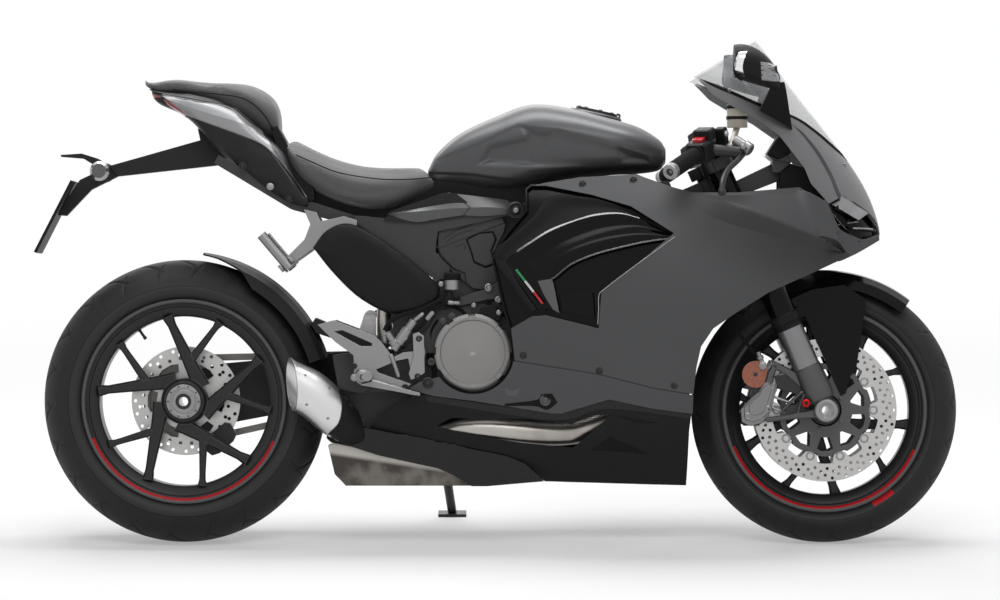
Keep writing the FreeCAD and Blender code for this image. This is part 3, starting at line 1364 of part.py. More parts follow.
def make_side_stand():
    pivot, foot, axis, up = stand_points()
    eye = Part.makeCylinder(18, 14, pivot - axis * 7, axis)
    down_leg = Vector(foot - pivot).normalize()
    neck = rod(pivot, pivot + down_leg * 40, 6.8)
    leg = rod(pivot + down_leg * 26, foot + up * 5, size("stand_radius"), size("stand_radius") - 1)
    outward = Vector(0, math.cos(LEAN), math.sin(LEAN))
    sole = Part.makeBox(64, 44, 7)
    sole.Placement = Placement(
        foot - Vector(32, 0, 0) - outward * 22, Rotation(Vector(1, 0, 0), outward, up, "XYZ"),
    )
    room = Part.makeCylinder(6 + size("running_gap"), 60, pivot - axis * 30, axis)
    keep_shape("side_stand", fused(eye, neck, leg, sole).cut(room))
    pin = Part.makeCylinder(6, 44, pivot - axis * 22, axis)
    cheeks = [
        Part.makeCylinder(18, 6, pivot - axis * 14, axis),
        Part.makeCylinder(18, 6, pivot + axis * 8, axis),
    ]
    arm = rod(Vector(-150, 84, 312), pivot - axis * 26, 8)
    cap = Part.makeCylinder(11, 18, pivot - axis * 30, axis)
    keep_shape("stand_bracket", biggest(fused(pin, *cheeks, arm, cap).cut(case_block())))


def make_all():
    make_engine()
    make_clutch_cover()
    make_side_covers()
    make_main_frame()
    make_seat_frames()
    tank = make_tank()
    make_tail(tank)
    make_rear_brackets()
    make_side_fairings()
    make_nose()
    make_nose_stay()
    make_mirrors()
    make_radiator()
    make_exhaust()
    make_side_guards()
    make_swingarm()
    make_rear_caliper()
    make_hugger()
    make_shock()
    make_chain()
    make_footrests()
    make_pillion_pegs()
    make_fork()
    make_fork_clamps()
    make_front_axle()
    make_handlebars()
    make_fender()
    make_calipers()
    make_brake_hoses()
    make_side_stand()
    make_front_wheel()
    make_front_discs()
    make_rear_wheel()
    make_rear_axle()
    make_rear_disc()
    make_rear_sprocket()


def write_parts():
    doc.recompute()
    for item in doc.Objects:
        if "Invalid" in item.State or "Error" in item.State:
            raise SystemExit(f"{item.Label} failed: {item.State}")
    os.makedirs("parts", exist_ok=True)
    for piece in kept:
        if piece.Shape.isNull() or not piece.Shape.isValid():
            raise SystemExit(f"{piece.Label} has no valid shape")
        piece.Shape.exportStep(f"parts/{piece.Label}.step")
    print(len(kept), "pieces")


make_all()
write_parts()
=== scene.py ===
# %% [markdown]
# # A sport bike on its side stand
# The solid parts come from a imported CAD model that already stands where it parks: rolled ten degrees to
# its left, resting on two tyres and the stand's foot. This lesson dresses that frame. It keeps the solids
# whose shape is right and gives them a finish, and lays worked-out surfaces over the forms that a
# solid modeller leaves plain: tyre tread, drilled discs, padded seats, pressed panels and small hardware.

# %% Load the fixed frame
import math

import bmesh
import bpy
import numpy as np
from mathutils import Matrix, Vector, geometry
from mathutils.bvhtree import BVHTree


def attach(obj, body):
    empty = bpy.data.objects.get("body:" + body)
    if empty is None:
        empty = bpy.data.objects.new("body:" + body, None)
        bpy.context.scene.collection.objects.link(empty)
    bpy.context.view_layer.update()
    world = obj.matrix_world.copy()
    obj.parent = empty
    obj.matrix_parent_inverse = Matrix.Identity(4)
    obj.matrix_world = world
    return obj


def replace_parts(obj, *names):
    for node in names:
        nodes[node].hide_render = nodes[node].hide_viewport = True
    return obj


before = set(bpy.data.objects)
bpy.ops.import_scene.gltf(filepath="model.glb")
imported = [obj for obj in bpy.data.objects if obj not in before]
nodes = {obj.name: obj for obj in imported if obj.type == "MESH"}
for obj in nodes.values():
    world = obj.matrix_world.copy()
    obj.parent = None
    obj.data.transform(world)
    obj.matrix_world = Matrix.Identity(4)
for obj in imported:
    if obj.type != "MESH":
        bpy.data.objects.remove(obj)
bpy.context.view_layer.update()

# %% [markdown]
# ## Two frames of reference
# Every size of a motorcycle is known with the machine upright, from its own middle plane. The packed
# model leans. One function turns upright millimetres into the frame's metres, so each later piece can be
# drawn upright and still land on the leaning solids.

# %% From the upright bike to the parked bike
LEAN = math.radians(10)
SHIFT_X, SHIFT_Y, RISE = 18.8, 179.8, 95 * (1 - math.cos(LEAN))
RAKE = math.radians(24)
AXIS_UP = np.array([-math.sin(RAKE), 0, math.cos(RAKE)])
REAR_AXLE = np.array([-717.99, 0.0, 317.0])
FRONT_AXLE = np.array([717.42, 0.0, 297.5])
LEG_OUT = 104.0


def parked(points):
    """Upright bike points in mm as points of the frame in metres: a turn about X by minus the lean,
    y' = y cos + z sin, z' = z cos - y sin, and then the shift to the middle of the parked bike."""
    x, y, z = np.moveaxis(np.asarray(points, float), -1, 0)
    across = y * math.cos(LEAN) + z * math.sin(LEAN) - SHIFT_Y
    up = z * math.cos(LEAN) - y * math.sin(LEAN) + RISE
    return np.stack([x + SHIFT_X, across, up], -1) / 1000


print("rear axle stands at", parked(REAR_AXLE))

# %% [markdown]
# ## The camera
# The photograph is a catalogue side view, square to the bike's middle plane, through a long lens. The
# leaning bike is square to a camera that looks down by the same ten degrees, so the camera sits fourteen
# metres out on the right and ten degrees up. The picture covers 2.25 m, and the lens follows from that.

# %% Camera square to the leaning bike
DISTANCE = 14.0
PICTURE_WIDTH = 2.25
aim = Vector(parked([-10.6, 0, 544]))
toward_camera = Vector((0, -math.cos(LEAN), math.sin(LEAN)))
camera_data = bpy.data.cameras.new("side_camera")
camera_data.sensor_width = 36
camera_data.lens = 36 * DISTANCE / PICTURE_WIDTH
camera_data.clip_end = 200
camera = bpy.data.objects.new("side_camera", camera_data)
camera.location = aim + toward_camera * DISTANCE
camera.rotation_mode = "QUATERNION"
camera.rotation_quaternion = (-toward_camera).to_track_quat("-Z", "Y")
bpy.context.scene.collection.objects.link(camera)
bpy.context.scene.camera = camera
print("lens", round(camera_data.lens, 1), "mm")

# %% [markdown]
# ## Meshes from arrays
# A part of a mesh is a pair: an array of points in upright millimetres and a list of faces. The helpers
# below make such parts from a grid of points or from a turned profile. Blender's own tools could do the
# same one click at a time, but an array can be worked out, changed and checked as a whole.

# %% Parts of a mesh
def grid_part(points, wrap_u=False, wrap_v=False, caps=False):
    """A sheet over a grid of points p(u, v). Neighbours in u and v make a four-sided face, wrapping
    round where asked. With caps, the first and last row are closed by a fan to their middle."""
    points = np.asarray(points, float)
    rows, columns = points.shape[:2]
    number = np.arange(rows * columns).reshape(rows, columns)
    if wrap_u:
        number = np.vstack([number, number[:1]])
    if wrap_v:
        number = np.hstack([number, number[:, :1]])
    a, b, c, d = number[:-1, :-1], number[1:, :-1], number[1:, 1:], number[:-1, 1:]
    faces = np.stack([a, b, c, d], -1).reshape(-1, 4).tolist()
    flat = points.reshape(-1, 3)
    if caps:
        for row in (0, rows - 1):
            middle = len(flat)
            flat = np.vstack([flat, points[row].mean(0)])
            ring = number[row]
            faces += [[int(p), int(q), middle] for p, q in zip(ring, ring[1:])]
    return flat, faces


def frame_of(axis):
    """The axis as a unit vector, and two more that are square to it and to each other."""
    k = np.array(axis, float) / np.linalg.norm(axis)
    side = np.cross(k, [0, 0, 1.0]) if abs(k[2]) < 0.9 else np.cross(k, [1.0, 0, 0])
    side /= np.linalg.norm(side)
    return k, side, np.cross(side, k)


def one_turn(count):
    """Angles spread evenly over one turn."""
    return np.linspace(0, 2 * np.pi, count, endpoint=False)


def lathe_part(profile, centre, axis=(0, 1, 0), count=48, closed=True):
    """A turned shape: each (radius, height) of the profile goes round the axis,
    p = c + k h + r (s cos t + w sin t). A closed profile makes a ring, an open one is capped."""
    k, side, up = frame_of(axis)
    r, h = np.asarray(profile, float).T
    t = one_turn(count)
    ring = side * np.cos(t)[:, None] + up * np.sin(t)[:, None]
    points = np.asarray(centre, float) + k * h[:, None, None] + r[:, None, None] * ring
    return grid_part(points, wrap_u=closed, wrap_v=True, caps=not closed)


print("a plain ring has", len(lathe_part([(1, 0), (2, 0), (2, 1), (1, 1)], (0, 0, 0))[1]), "faces")

# %% [markdown]
# ## From parts to a piece
# Parts that share a finish and move together become one object. Blender's join command could do it, but
# arrays can be joined before there is any object, and then one function parks the points, turns the
# normals outwards and marks the sharp edges for every piece alike.

# %% Joining parts into a piece
def piece(name, parts, finish, body="motorcycle", smooth=35, outward=True, bevel=0.0):
    """An object from parts: the points are parked, the normals point outwards, and edges sharper than
    the smooth angle stay crisp. A bevel in mm rounds those edges. The piece moves with its body."""
    points, faces = [], []
    for part_points, part_faces in parts:
        shift = sum(len(p) for p in points)
        points.append(np.asarray(part_points, float))
        faces += [[int(i) + shift for i in face] for face in part_faces]
    mesh = bpy.data.meshes.new(name)
    mesh.from_pydata(parked(np.vstack(points)).tolist(), [], faces)
    if outward:
        work = bmesh.new()
        work.from_mesh(mesh)
        bmesh.ops.recalc_face_normals(work, faces=work.faces)
        work.to_mesh(mesh)
        work.free()
    mesh.shade_smooth()
    mesh.set_sharp_from_angle(angle=math.radians(smooth))
    made = bpy.data.objects.new(name, mesh)
    bpy.context.scene.collection.objects.link(made)
    mesh.materials.append(finish)
    if bevel:
        edge = made.modifiers.new("edge", "BEVEL")
        edge.width, edge.segments, edge.limit_method = bevel / 1000, 2, "ANGLE"
        edge.angle_limit = math.radians(smooth)
    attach(made, body)
    print(f"{name}: {len(mesh.polygons)} faces on {body}")
    return made


# %% [markdown]
# ## Shader maths as sums
# A finish is a recipe of nodes. `Value` wraps one socket, and each operator on it adds a Math node, so a
# pattern reads like a formula. Every other node comes from `Recipe.add`, which takes the node's type, its
# settings and what goes into its sockets. Patterns read Object coordinates: the objects sit at the
# origin, so these are metres of the parked bike, and they travel with a wheel or a lid as it turns.

# %% The value wrapper and the recipe
class Value:
    """One socket of a recipe. Sums, differences, products and comparisons add Math nodes."""

    def __init__(self, recipe, socket):
        self.recipe, self.socket = recipe, socket

    def math(self, operation, *others, swapped=False):
        terms = [self, *others][::-1] if swapped else [self, *others]
        return self.recipe.add("Math", {"operation": operation}, dict(enumerate(terms)))

    def __add__(self, other):
        return self.math("ADD", other)

    def __sub__(self, other):
        return self.math("SUBTRACT", other)

    def __rsub__(self, other):
        return self.math("SUBTRACT", other, swapped=True)

    def __mul__(self, other):
        return self.math("MULTIPLY", other)

    def __gt__(self, other):
        return self.math("GREATER_THAN", other)

    def __lt__(self, other):
        return self.math("LESS_THAN", other)

    __radd__, __rmul__ = __add__, __mul__

    def between(self, low, high):
        """1 where low < value < high, else 0."""
        return (self > low) * (self < high)

    def ramp(self, low, high, first=0.0, last=1.0):
        """A smooth step from first at low to last at high."""
        settings = {"interpolation_type": "SMOOTHSTEP"}
        return self.recipe.add("MapRange", settings, {0: self, 1: low, 2: high, 3: first, 4: last})


class Recipe:
    """The nodes of one finish, from Object coordinates to the surface. The world can own one too."""

    def __init__(self, name, owner=None):
        self.material = owner or bpy.data.materials.new(name)
        self.material.use_nodes = True
        self.tree = self.material.node_tree
        self.tree.nodes.clear()
        self.place = self.add("TexCoord", out="Object")

    def add(self, kind, settings=None, inputs=None, out=0):
        """Adds one node, sets its settings, then its inputs, and gives back one output."""
        node = self.tree.nodes.new("ShaderNode" + kind)
        for key, value in (settings or {}).items():
            setattr(node, key, value)
        for key, value in (inputs or {}).items():
            if isinstance(value, Value):
                self.tree.links.new(value.socket, node.inputs[key])
            else:
                node.inputs[key].default_value = value
        return Value(self, node.outputs[out])

    def upright(self, centre=(0, 0, 0)):
        """Object coordinates turned back to the upright bike, in metres from a centre given in mm."""
        spot = {"Location": tuple(-c for c in parked(centre))}
        moved = self.add("Mapping", {"vector_type": "POINT"}, {"Vector": self.place, **spot})
        return self.add("Mapping", {}, {"Vector": moved, "Rotation": (LEAN, 0, 0)})

    def split(self, vector):
        """The three numbers of a vector."""
        return [self.add("SeparateXYZ", {}, {0: vector}, out) for out in range(3)]

    def noise(self, scale, detail=3.0, stretch=None, rough=0.5):
        """Cloudy noise between 0 and 1, with the given number of clouds to a metre."""
        where = self.place
        if stretch:
            where = self.add("VectorMath", {"operation": "MULTIPLY"}, {0: where, 1: stretch})
        return self.add(
            "TexNoise", {}, {"Vector": where, "Scale": scale, "Detail": detail, "Roughness": rough}
        )

    def cells(self, scale):
        """Distance to the nearest cell of a Voronoi pattern."""
        return self.add("TexVoronoi", {}, {"Vector": self.place, "Scale": scale})

    def blend(self, factor, first, second):
        """A colour between two colours."""
        rgba = [(*c, 1.0) if isinstance(c, tuple) and len(c) == 3 else c for c in (first, second)]
        return self.add("Mix", {"data_type": "RGBA"}, {0: factor, 6: rgba[0], 7: rgba[1]}, 2)

    def edges(self, radius):
        """1 along edges that a small bevel would round, 0 on flat ground."""
        round_normal = self.add("Bevel", {"samples": 4}, {"Radius": radius})
        flat_normal = self.add("NewGeometry", out="Normal")
        same = self.add(
            "VectorMath", {"operation": "DOT_PRODUCT"}, {0: round_normal, 1: flat_normal}, "Value"
        )
        return (1 - same).ramp(0.02, 0.25)

    def finish(self, colour, roughness, bump=None, height=0.0002, strength=1.0, soft_edge=0.0, **constants):
        """Ends the recipe in a Principled surface. A bump is a height pattern, and soft_edge lets the
        light see each edge as rounded by that radius in metres."""
        rgba = (*colour, 1.0) if isinstance(colour, tuple) else colour
        inputs = {"Base Color": rgba, "Roughness": roughness}
        normal = self.add("Bevel", {"samples": 4}, {"Radius": soft_edge}) if soft_edge else None
        if bump is not None:
            parts = {"Height": bump, "Distance": height, "Strength": strength}
            if normal is not None:
                parts["Normal"] = normal
            normal = self.add("Bump", {}, parts)
        if normal is not None:
            inputs["Normal"] = normal
        for key, value in constants.items():
            inputs[key.replace("_", " ")] = value
        surface = self.add("BsdfPrincipled", {}, inputs)
        self.end(surface)
        return self.material

    def end(self, surface, kind="Material"):
        """Joins a surface to the output of the material or of the world."""
        output = self.tree.nodes.new("ShaderNodeOutput" + kind)
        self.tree.links.new(surface.socket, output.inputs["Surface"])


# %% [markdown]
# ## The finishes
# The bike is almost all one colour, so the differences are in the gloss. The panels carry a matt graphite
# paint with a fine metal flake. The duct blades and the front fender are polished black. The unpainted
# covers are grained plastic, and the castings, the can, the collector and the discs are four kinds of
# bare metal. Each recipe mixes a broad cloud, for uneven light and handling, with a fine grain.
# The nose and the tail's band are paler copies of the graphite, as painted highlight, and the side panels
# carry painted shade under their crease.

# %% Painted and moulded finishes
def painted(name, colour, roughness, flake=0.25, soft_edge=0.0, **constants):
    """Paint: a flake of fine bright specks over broad clouds, with the same specks in the bump."""
    r = Recipe(name)
    cloud = r.noise(5.0, 2.0)
    speck = r.noise(2600.0, 1.0)
    light = tuple(min(1.0, c * (1 + flake)) for c in colour)
    dark = tuple(c * (1 - flake) for c in colour)
    tone = r.blend(cloud * 0.5 + speck.ramp(0.35, 0.75) * 0.5, dark, light)
    worn = roughness + (cloud - 0.5) * 0.1
    return r.finish(tone, worn, speck, 0.00002, 0.35, soft_edge, **constants)


def moulded(name, colour, roughness=0.55, grain=1400.0, depth=0.00006, soft_edge=0.0, **constants):
    """Moulded plastic: a pebbled grain from a cell pattern, and faint pale scuffs."""
    r = Recipe(name)
    pebble = r.cells(grain)
    scuff = r.noise(14.0, 6.0, rough=0.7).ramp(0.55, 0.8)
    tone = r.blend(scuff * 0.25, colour, tuple(min(1.0, c * 1.8 + 0.01) for c in colour))
    return r.finish(tone, roughness + scuff * 0.08, pebble, depth, 0.6, soft_edge, **constants)


def shaded_side_finish(name):
    """The side panels' paint, with painted shade: it darkens below the crease of the upper fairing, where
    the skin turns under, and comes back to graphite lower down. The crease is close to the line
    z + 0.395 x = 0.958."""
    r = Recipe(name)
    x, y, z = r.split(r.upright())
    cloud, speck = r.noise(5.0, 2.0), r.noise(2600.0, 1.0)
    tone = r.blend(cloud * 0.5 + speck.ramp(0.35, 0.75) * 0.5, (0.048, 0.049, 0.051), (0.063, 0.064, 0.067))
    above = z + x * 0.395 - 0.958
    under = above.ramp(-0.2, -0.03) * above.ramp(-0.004, 0.006, 1.0, 0.0) * x.ramp(0.33, 0.43) * (z > 0.5)
    # painted shade: a near-black tone below the crease, where the skin turns under
    tone = r.blend(under * 0.8, tone, (0.014, 0.014, 0.015))
    return r.finish(tone, 0.42 + (cloud - 0.5) * 0.1, speck, 0.00002, 0.35, 0.0015, Metallic=0.3)


side_shaded_paint = shaded_side_finish("side_panel_paint_painted_shade")
DIM = {"Specular_IOR_Level": 0.1}
GRAPHITE = (0.068, 0.069, 0.072)
matt_paint = painted("matt_graphite_paint", GRAPHITE, 0.4, 0.14, Metallic=0.3)
panel_paint = painted("panel_paint", (0.055, 0.056, 0.059), 0.42, 0.14, 0.0015, Metallic=0.3)
# The nose's paint is a paler copy of the graphite: a painted highlight of the light from above.
nose_highlight_paint = painted("nose_highlight_paint", (0.17, 0.171, 0.176), 0.4, 0.14, 0.0015, Metallic=0.3)
# Two pale greys, lit copies of the graphite, paint the highlight on the tail's band and on thin edge lines.
pale_highlight_paint = painted("tail_band_painted_highlight", (0.3, 0.302, 0.308), 0.4, 0.1, 0.001, Metallic=0.3)
lower_band_highlight_paint = painted("tail_lower_band_painted_highlight", (0.32, 0.322, 0.328), 0.4, 0.1, 0.001, Metallic=0.3)
cover_paint = painted("satin_cover_paint", (0.085, 0.086, 0.089), 0.36, 0.1, 0.001, Metallic=0.2)
gloss_paint = painted("polished_black", (0.003, 0.003, 0.0035), 0.14, 0.1, 0.001, Specular_IOR_Level=0.13)
edge_gloss = painted("polished_edge", (0.02, 0.02, 0.021), 0.2, 0.1, 0.001, Specular_IOR_Level=0.8)
soft_black = moulded("soft_black", (0.028, 0.028, 0.029), 0.5, 1500.0, 0.00004, 0.0015, **DIM)
satin_black = moulded("satin_black", (0.012, 0.012, 0.013), 0.42, 1600.0, 0.00003, 0.001, **DIM)
grained_black = moulded("grained_black", (0.014, 0.014, 0.015), 0.52, soft_edge=0.0015, **DIM)
grip_rubber = moulded("grip_rubber", (0.010, 0.010, 0.010), 0.75, 900.0, 0.0002, **DIM)
STRIPE_COLOURS = {"green": (0.01, 0.22, 0.06), "white": (0.62, 0.62, 0.60), "red": (0.45, 0.012, 0.016)}
stripe_paint = {key: painted(f"stripe_{key}", value, 0.35, 0.05) for key, value in STRIPE_COLOURS.items()}
print(len(bpy.data.materials), "paints and plastics")

# %% [markdown]
# ## Bare metal
# Castings are gritty and paler along their edges, and sheet metal shows the hair lines of its
# grinding. Nobody has to paint the edges: a node compares the surface's normal with that of a small
# bevel, and where they differ there is an edge. The collector is darker below its top edge.

# %% Metal finishes
def cast_metal(name, colour, roughness=0.42, metallic=1.0, grit=900.0, wear=0.35, soft_edge=0.0012):
    """A casting: gritty all over from fine noise, and paler along its edges."""
    r = Recipe(name)
    grit_height = r.noise(grit, 4.0)
    cloud = r.noise(18.0, 3.0)
    paler_edges = r.edges(0.002) * wear
    pale = tuple(min(1.0, c * 1.9 + 0.05) for c in colour)
    tone = r.blend(paler_edges + (cloud - 0.5) * 0.12, colour, pale)
    rough = roughness + (cloud - 0.5) * 0.15 - paler_edges * 0.12
    return r.finish(tone, rough, grit_height, 0.00008, 0.5, soft_edge, Metallic=metallic)


def brushed_metal(name, colour, roughness=0.3, stretch=(60.0, 900.0, 900.0), soft_edge=0.001, tint=None):
    """Sheet metal: hair lines from noise stretched along one way, with an optional heat tint."""
    r = Recipe(name)
    hair = r.noise(1.0, 5.0, stretch)
    cloud = r.noise(9.0, 4.0)
    tone = r.blend(hair, tuple(c * 0.88 for c in colour), tuple(min(1.0, c * 1.08) for c in colour))
    if tint:
        tone = r.blend(cloud.ramp(0.42, 0.62) * 0.7, tone, tint)
    rough = roughness + (hair - 0.5) * 0.2 + (cloud - 0.5) * 0.12
    return r.finish(tone, rough, hair, 0.00003, 0.5, soft_edge, Metallic=1.0)


dark_casting = cast_metal("dark_casting", (0.035, 0.035, 0.037), 0.5, 0.4, wear=0.25)
disc_carrier = cast_metal("disc_carrier", (0.085, 0.085, 0.087), 0.45, 0.8)
black_casting = cast_metal("black_coated_metal", (0.016, 0.016, 0.017), 0.42, 0.3, wear=0.2)
bright_casting = cast_metal("bright_casting", (0.25, 0.25, 0.25), 0.4, 0.8, wear=0.5)
cover_casting = cast_metal("cover_casting", (0.22, 0.216, 0.212), 0.5, 0.8, grit=1600.0, wear=0.25)
brushed_steel = brushed_metal("brushed_steel", (0.47, 0.465, 0.46), 0.3)
can_steel = brushed_metal("satin_can", (0.66, 0.66, 0.66), 0.34, (120.0, 120.0, 1500.0))
warm_steel = brushed_metal(
    "heat_tinted_steel", (0.42, 0.398, 0.372), 0.33, (50.0, 700.0, 700.0), tint=(0.26, 0.235, 0.21)
)
chain_metal = cast_metal("oiled_chain_steel", (0.2, 0.195, 0.185), 0.36, grit=1200.0)
fork_metal = cast_metal("fork_metal", (0.2, 0.2, 0.205), 0.35, 0.9)
gold_metal = cast_metal("gold_anodised", (0.42, 0.25, 0.06), 0.32, grit=1500.0)
red_metal = cast_metal("red_anodised", (0.38, 0.012, 0.014), 0.3, grit=1500.0)


def collector_metal(name):
    """The collector's steel: pale along the rolled top edge and darker, in mottled tones, below it. The
    edge falls to the front, so the dark part's upper bound is a slanted line, z + 0.157 x = 0.14."""
    r = Recipe(name)
    x, y, z = r.split(r.upright())
    cloud = r.noise(16.0, 4.0)
    hair = r.noise(1.0, 4.0, (40.0, 600.0, 600.0))
    darker_below = (z + x * 0.157).ramp(0.134, 0.146, 1.0, 0.0)
    dark = r.blend(cloud.ramp(0.4, 0.65), (0.055, 0.05, 0.045), (0.15, 0.138, 0.125))
    tone = r.blend(darker_below, (0.42, 0.4, 0.375), dark)
    return r.finish(tone, 0.36 + cloud * 0.15, hair, 0.00003, 0.5, 0.003, Metallic=0.9)


collector_steel = collector_metal("collector_steel_darker_below")
print(len(bpy.data.materials), "paints, plastics and metals")

# %% [markdown]
# ## Screen and lenses
# Thick glass bends light, which takes many samples to render. Thin plastic hardly bends it, so the screen
# is a surface that is mostly see-through, and a lens is a coat of gloss over a fine prism pattern.

# %% Clear and coloured finishes
def clear_plastic(name, colour, roughness=0.1, alpha=0.24):
    """Thin clear plastic: mostly see-through, with hair scratches in its gloss."""
    r = Recipe(name)
    scratch = r.noise(12.0, 4.0, (1.0, 6.0, 1.0), 0.6).ramp(0.6, 0.8)
    tone = r.blend(scratch * 0.1, colour, (0.7, 0.7, 0.7))
    return r.finish(tone, roughness + scratch * 0.05, scratch, 0.00002, 0.2, Alpha=alpha)


def coloured_lens(name, colour, roughness=0.12):
    """A moulded lens with a fine prism pattern under a smooth face."""
    r = Recipe(name)
    prism = r.cells(260.0)
    tone = r.blend(
        prism.ramp(0.1, 0.7), tuple(c * 0.7 for c in colour), tuple(min(1.0, c * 1.25) for c in colour)
    )
    return r.finish(tone, roughness, prism, 0.0004, 0.5, 0.001, Coat_Weight=0.7, Coat_Roughness=0.04)


screen_plastic = clear_plastic("clear_screen", (0.42, 0.43, 0.44))
lamp_glass = coloured_lens("clear_lens", (0.24, 0.245, 0.255))
lamp_cavity = painted("lamp_cavity", (0.004, 0.004, 0.005), 0.12, 0.1, 0.001, **DIM)
mirror_silver = brushed_metal("mirror_silver", (0.8, 0.81, 0.82), 0.05, (20.0, 20.0, 20.0), 0.0)
red_lens = coloured_lens("red_lens", (0.30, 0.012, 0.014))
amber_lens = coloured_lens("amber_lens", (0.27, 0.06, 0.018), 0.3)
fluid_cup = moulded("fluid_cup", (0.50, 0.46, 0.39), 0.3, 300.0, 0.00002, 0.001)
smoked_lens = coloured_lens("smoked_lens", (0.06, 0.06, 0.062), 0.4)
plate_paint = painted("blank_plate", (0.012, 0.012, 0.0125), 0.5, 0.05, **DIM)
print(len(bpy.data.materials), "finishes with the lenses")

# %% [markdown]
# ## Rubber and seat cloth
# A tyre is dull black, greyer where it has been scrubbed, with a moulded rib round its side. The seat
# cover is a technical cloth with a small raised diamond grain, so its bump comes from two crossed waves
# and its edge sheen from the shader.

# %% Rubber and cloth
def tyre_rubber(name, axle, tread_radius, wall_radius, has_label=0.0):
    """Rubber: fine pits everywhere, a dusting of grey that is strongest on the tread, a paler wall up to
    a moulded line, and on the front tyre a plain red oblong on the right wall."""
    r = Recipe(name)
    x, y, z = r.split(r.upright(axle))
    out = (x * x + z * z).math("SQRT")
    dust = r.noise(30.0, 6.0) * 0.5 + out.ramp(tread_radius - 0.03, tread_radius, 0.0, 0.25)
    tone = r.blend(dust, (0.008, 0.008, 0.008), (0.032, 0.032, 0.032))
    wall = out.ramp(wall_radius - 0.001, wall_radius + 0.001, 1.0, 0.0)
    line = out.between(wall_radius - 0.001, wall_radius + 0.001)
    tone = r.blend(wall * 0.6, tone, (0.036, 0.036, 0.037))
    tone = r.blend(line, tone, (0.004, 0.004, 0.004))
    fine_rings = (out * 2400.0).math("SINE") * out.between(0.236, 0.243)
    angle = z.math("ARCTAN2", x) * (180 / math.pi)
    label = out.between(0.231, 0.2425) * angle.between(-63, -50) * (y < -0.03)
    tone = r.blend(label * has_label, tone, (0.5, 0.012, 0.02))
    pits = r.noise(1500.0, 3.0)
    return r.finish(tone, 0.55 + dust * 0.15, pits + fine_rings * 0.5, 0.0001, 0.5, Specular_IOR_Level=0.25)


def seat_cloth(name, colour):
    """Seat cloth: a diamond grain, sin(a) sin(b) along two crossed ways, over soft clouds of wear."""
    r = Recipe(name)
    x, y, z = r.split(r.place)
    grain = ((x + y) * 1900.0).math("SINE") * ((x - y + z) * 1900.0).math("SINE")
    cloud = r.noise(11.0, 4.0)
    tone = r.blend(
        cloud * 0.6 + grain * 0.2, tuple(c * 0.7 for c in colour), tuple(c * 1.3 for c in colour)
    )
    return r.finish(
        tone, 0.62 + (cloud - 0.5) * 0.1, grain, 0.00018, 0.6, Sheen_Weight=0.25, Sheen_Roughness=0.4
    )


rear_rubber = tyre_rubber("rear_rubber", REAR_AXLE, 0.317, 0.258)
front_rubber = tyre_rubber("front_rubber", FRONT_AXLE, 0.298, 0.247, 1.0)
cloth = seat_cloth("seat_cloth", (0.082, 0.082, 0.085))
print(len(bpy.data.materials), "finishes with rubber and cloth")

# %% [markdown]
# ## The rim finish
# The wheels are black with a thin red stripe round the lower part of the rim's lip on the right side.
# The stripe is where the distance from the axle and the angle round it both fall in a band.
# Pale grey along the edges and round the lip's outer ring is a painted highlight.

# %% Rim finish with its stripe
def rim_finish(name, axle, first_deg, last_deg, lip_y):
    """Satin black, with a red band between two radii and two angles on the outer right face, and a painted
    highlight of pale grey along the edges and round the lip's outer ring.
    """
    r = Recipe(name)
    x, y, z = r.split(r.upright(axle))
    out = (x * x + z * z).math("SQRT")
    angle = z.math("ARCTAN2", x) * (180 / math.pi)
    stripe = out.between(0.2165, 0.2225) * angle.between(first_deg, last_deg) * (y < lip_y)
    grit = r.noise(1100.0, 3.0)
    cloud = r.noise(9.0, 3.0)
    black = r.blend(cloud * 0.6, (0.012, 0.012, 0.013), (0.026, 0.026, 0.028))
    # painted highlight: pale grey along every edge and round the lip's outer ring
    edge = (r.edges(0.003) + out.between(0.2225, 0.2295) * 0.7).math("MINIMUM", 1.0)
    tone = r.blend(stripe, r.blend(edge * 0.8, black, (0.15, 0.15, 0.155)), (0.45, 0.008, 0.012))
    return r.finish(tone, 0.34 + (cloud - 0.5) * 0.12, grit, 0.00005, 0.4, 0.0025, Specular_IOR_Level=0.3)


rear_rim_paint = rim_finish("rear_rim_paint", REAR_AXLE, -158, -24, -0.06)
front_rim_paint = rim_finish("front_rim_paint", FRONT_AXLE, -158, -24, -0.04)
print(len(bpy.data.materials), "finishes in all")

# %% [markdown]
# ## Dressing the solids
# Every solid gets its finish by name. One table shows at a glance which pieces share a material, where a
# call for each of sixty solids would have to be read to the end.

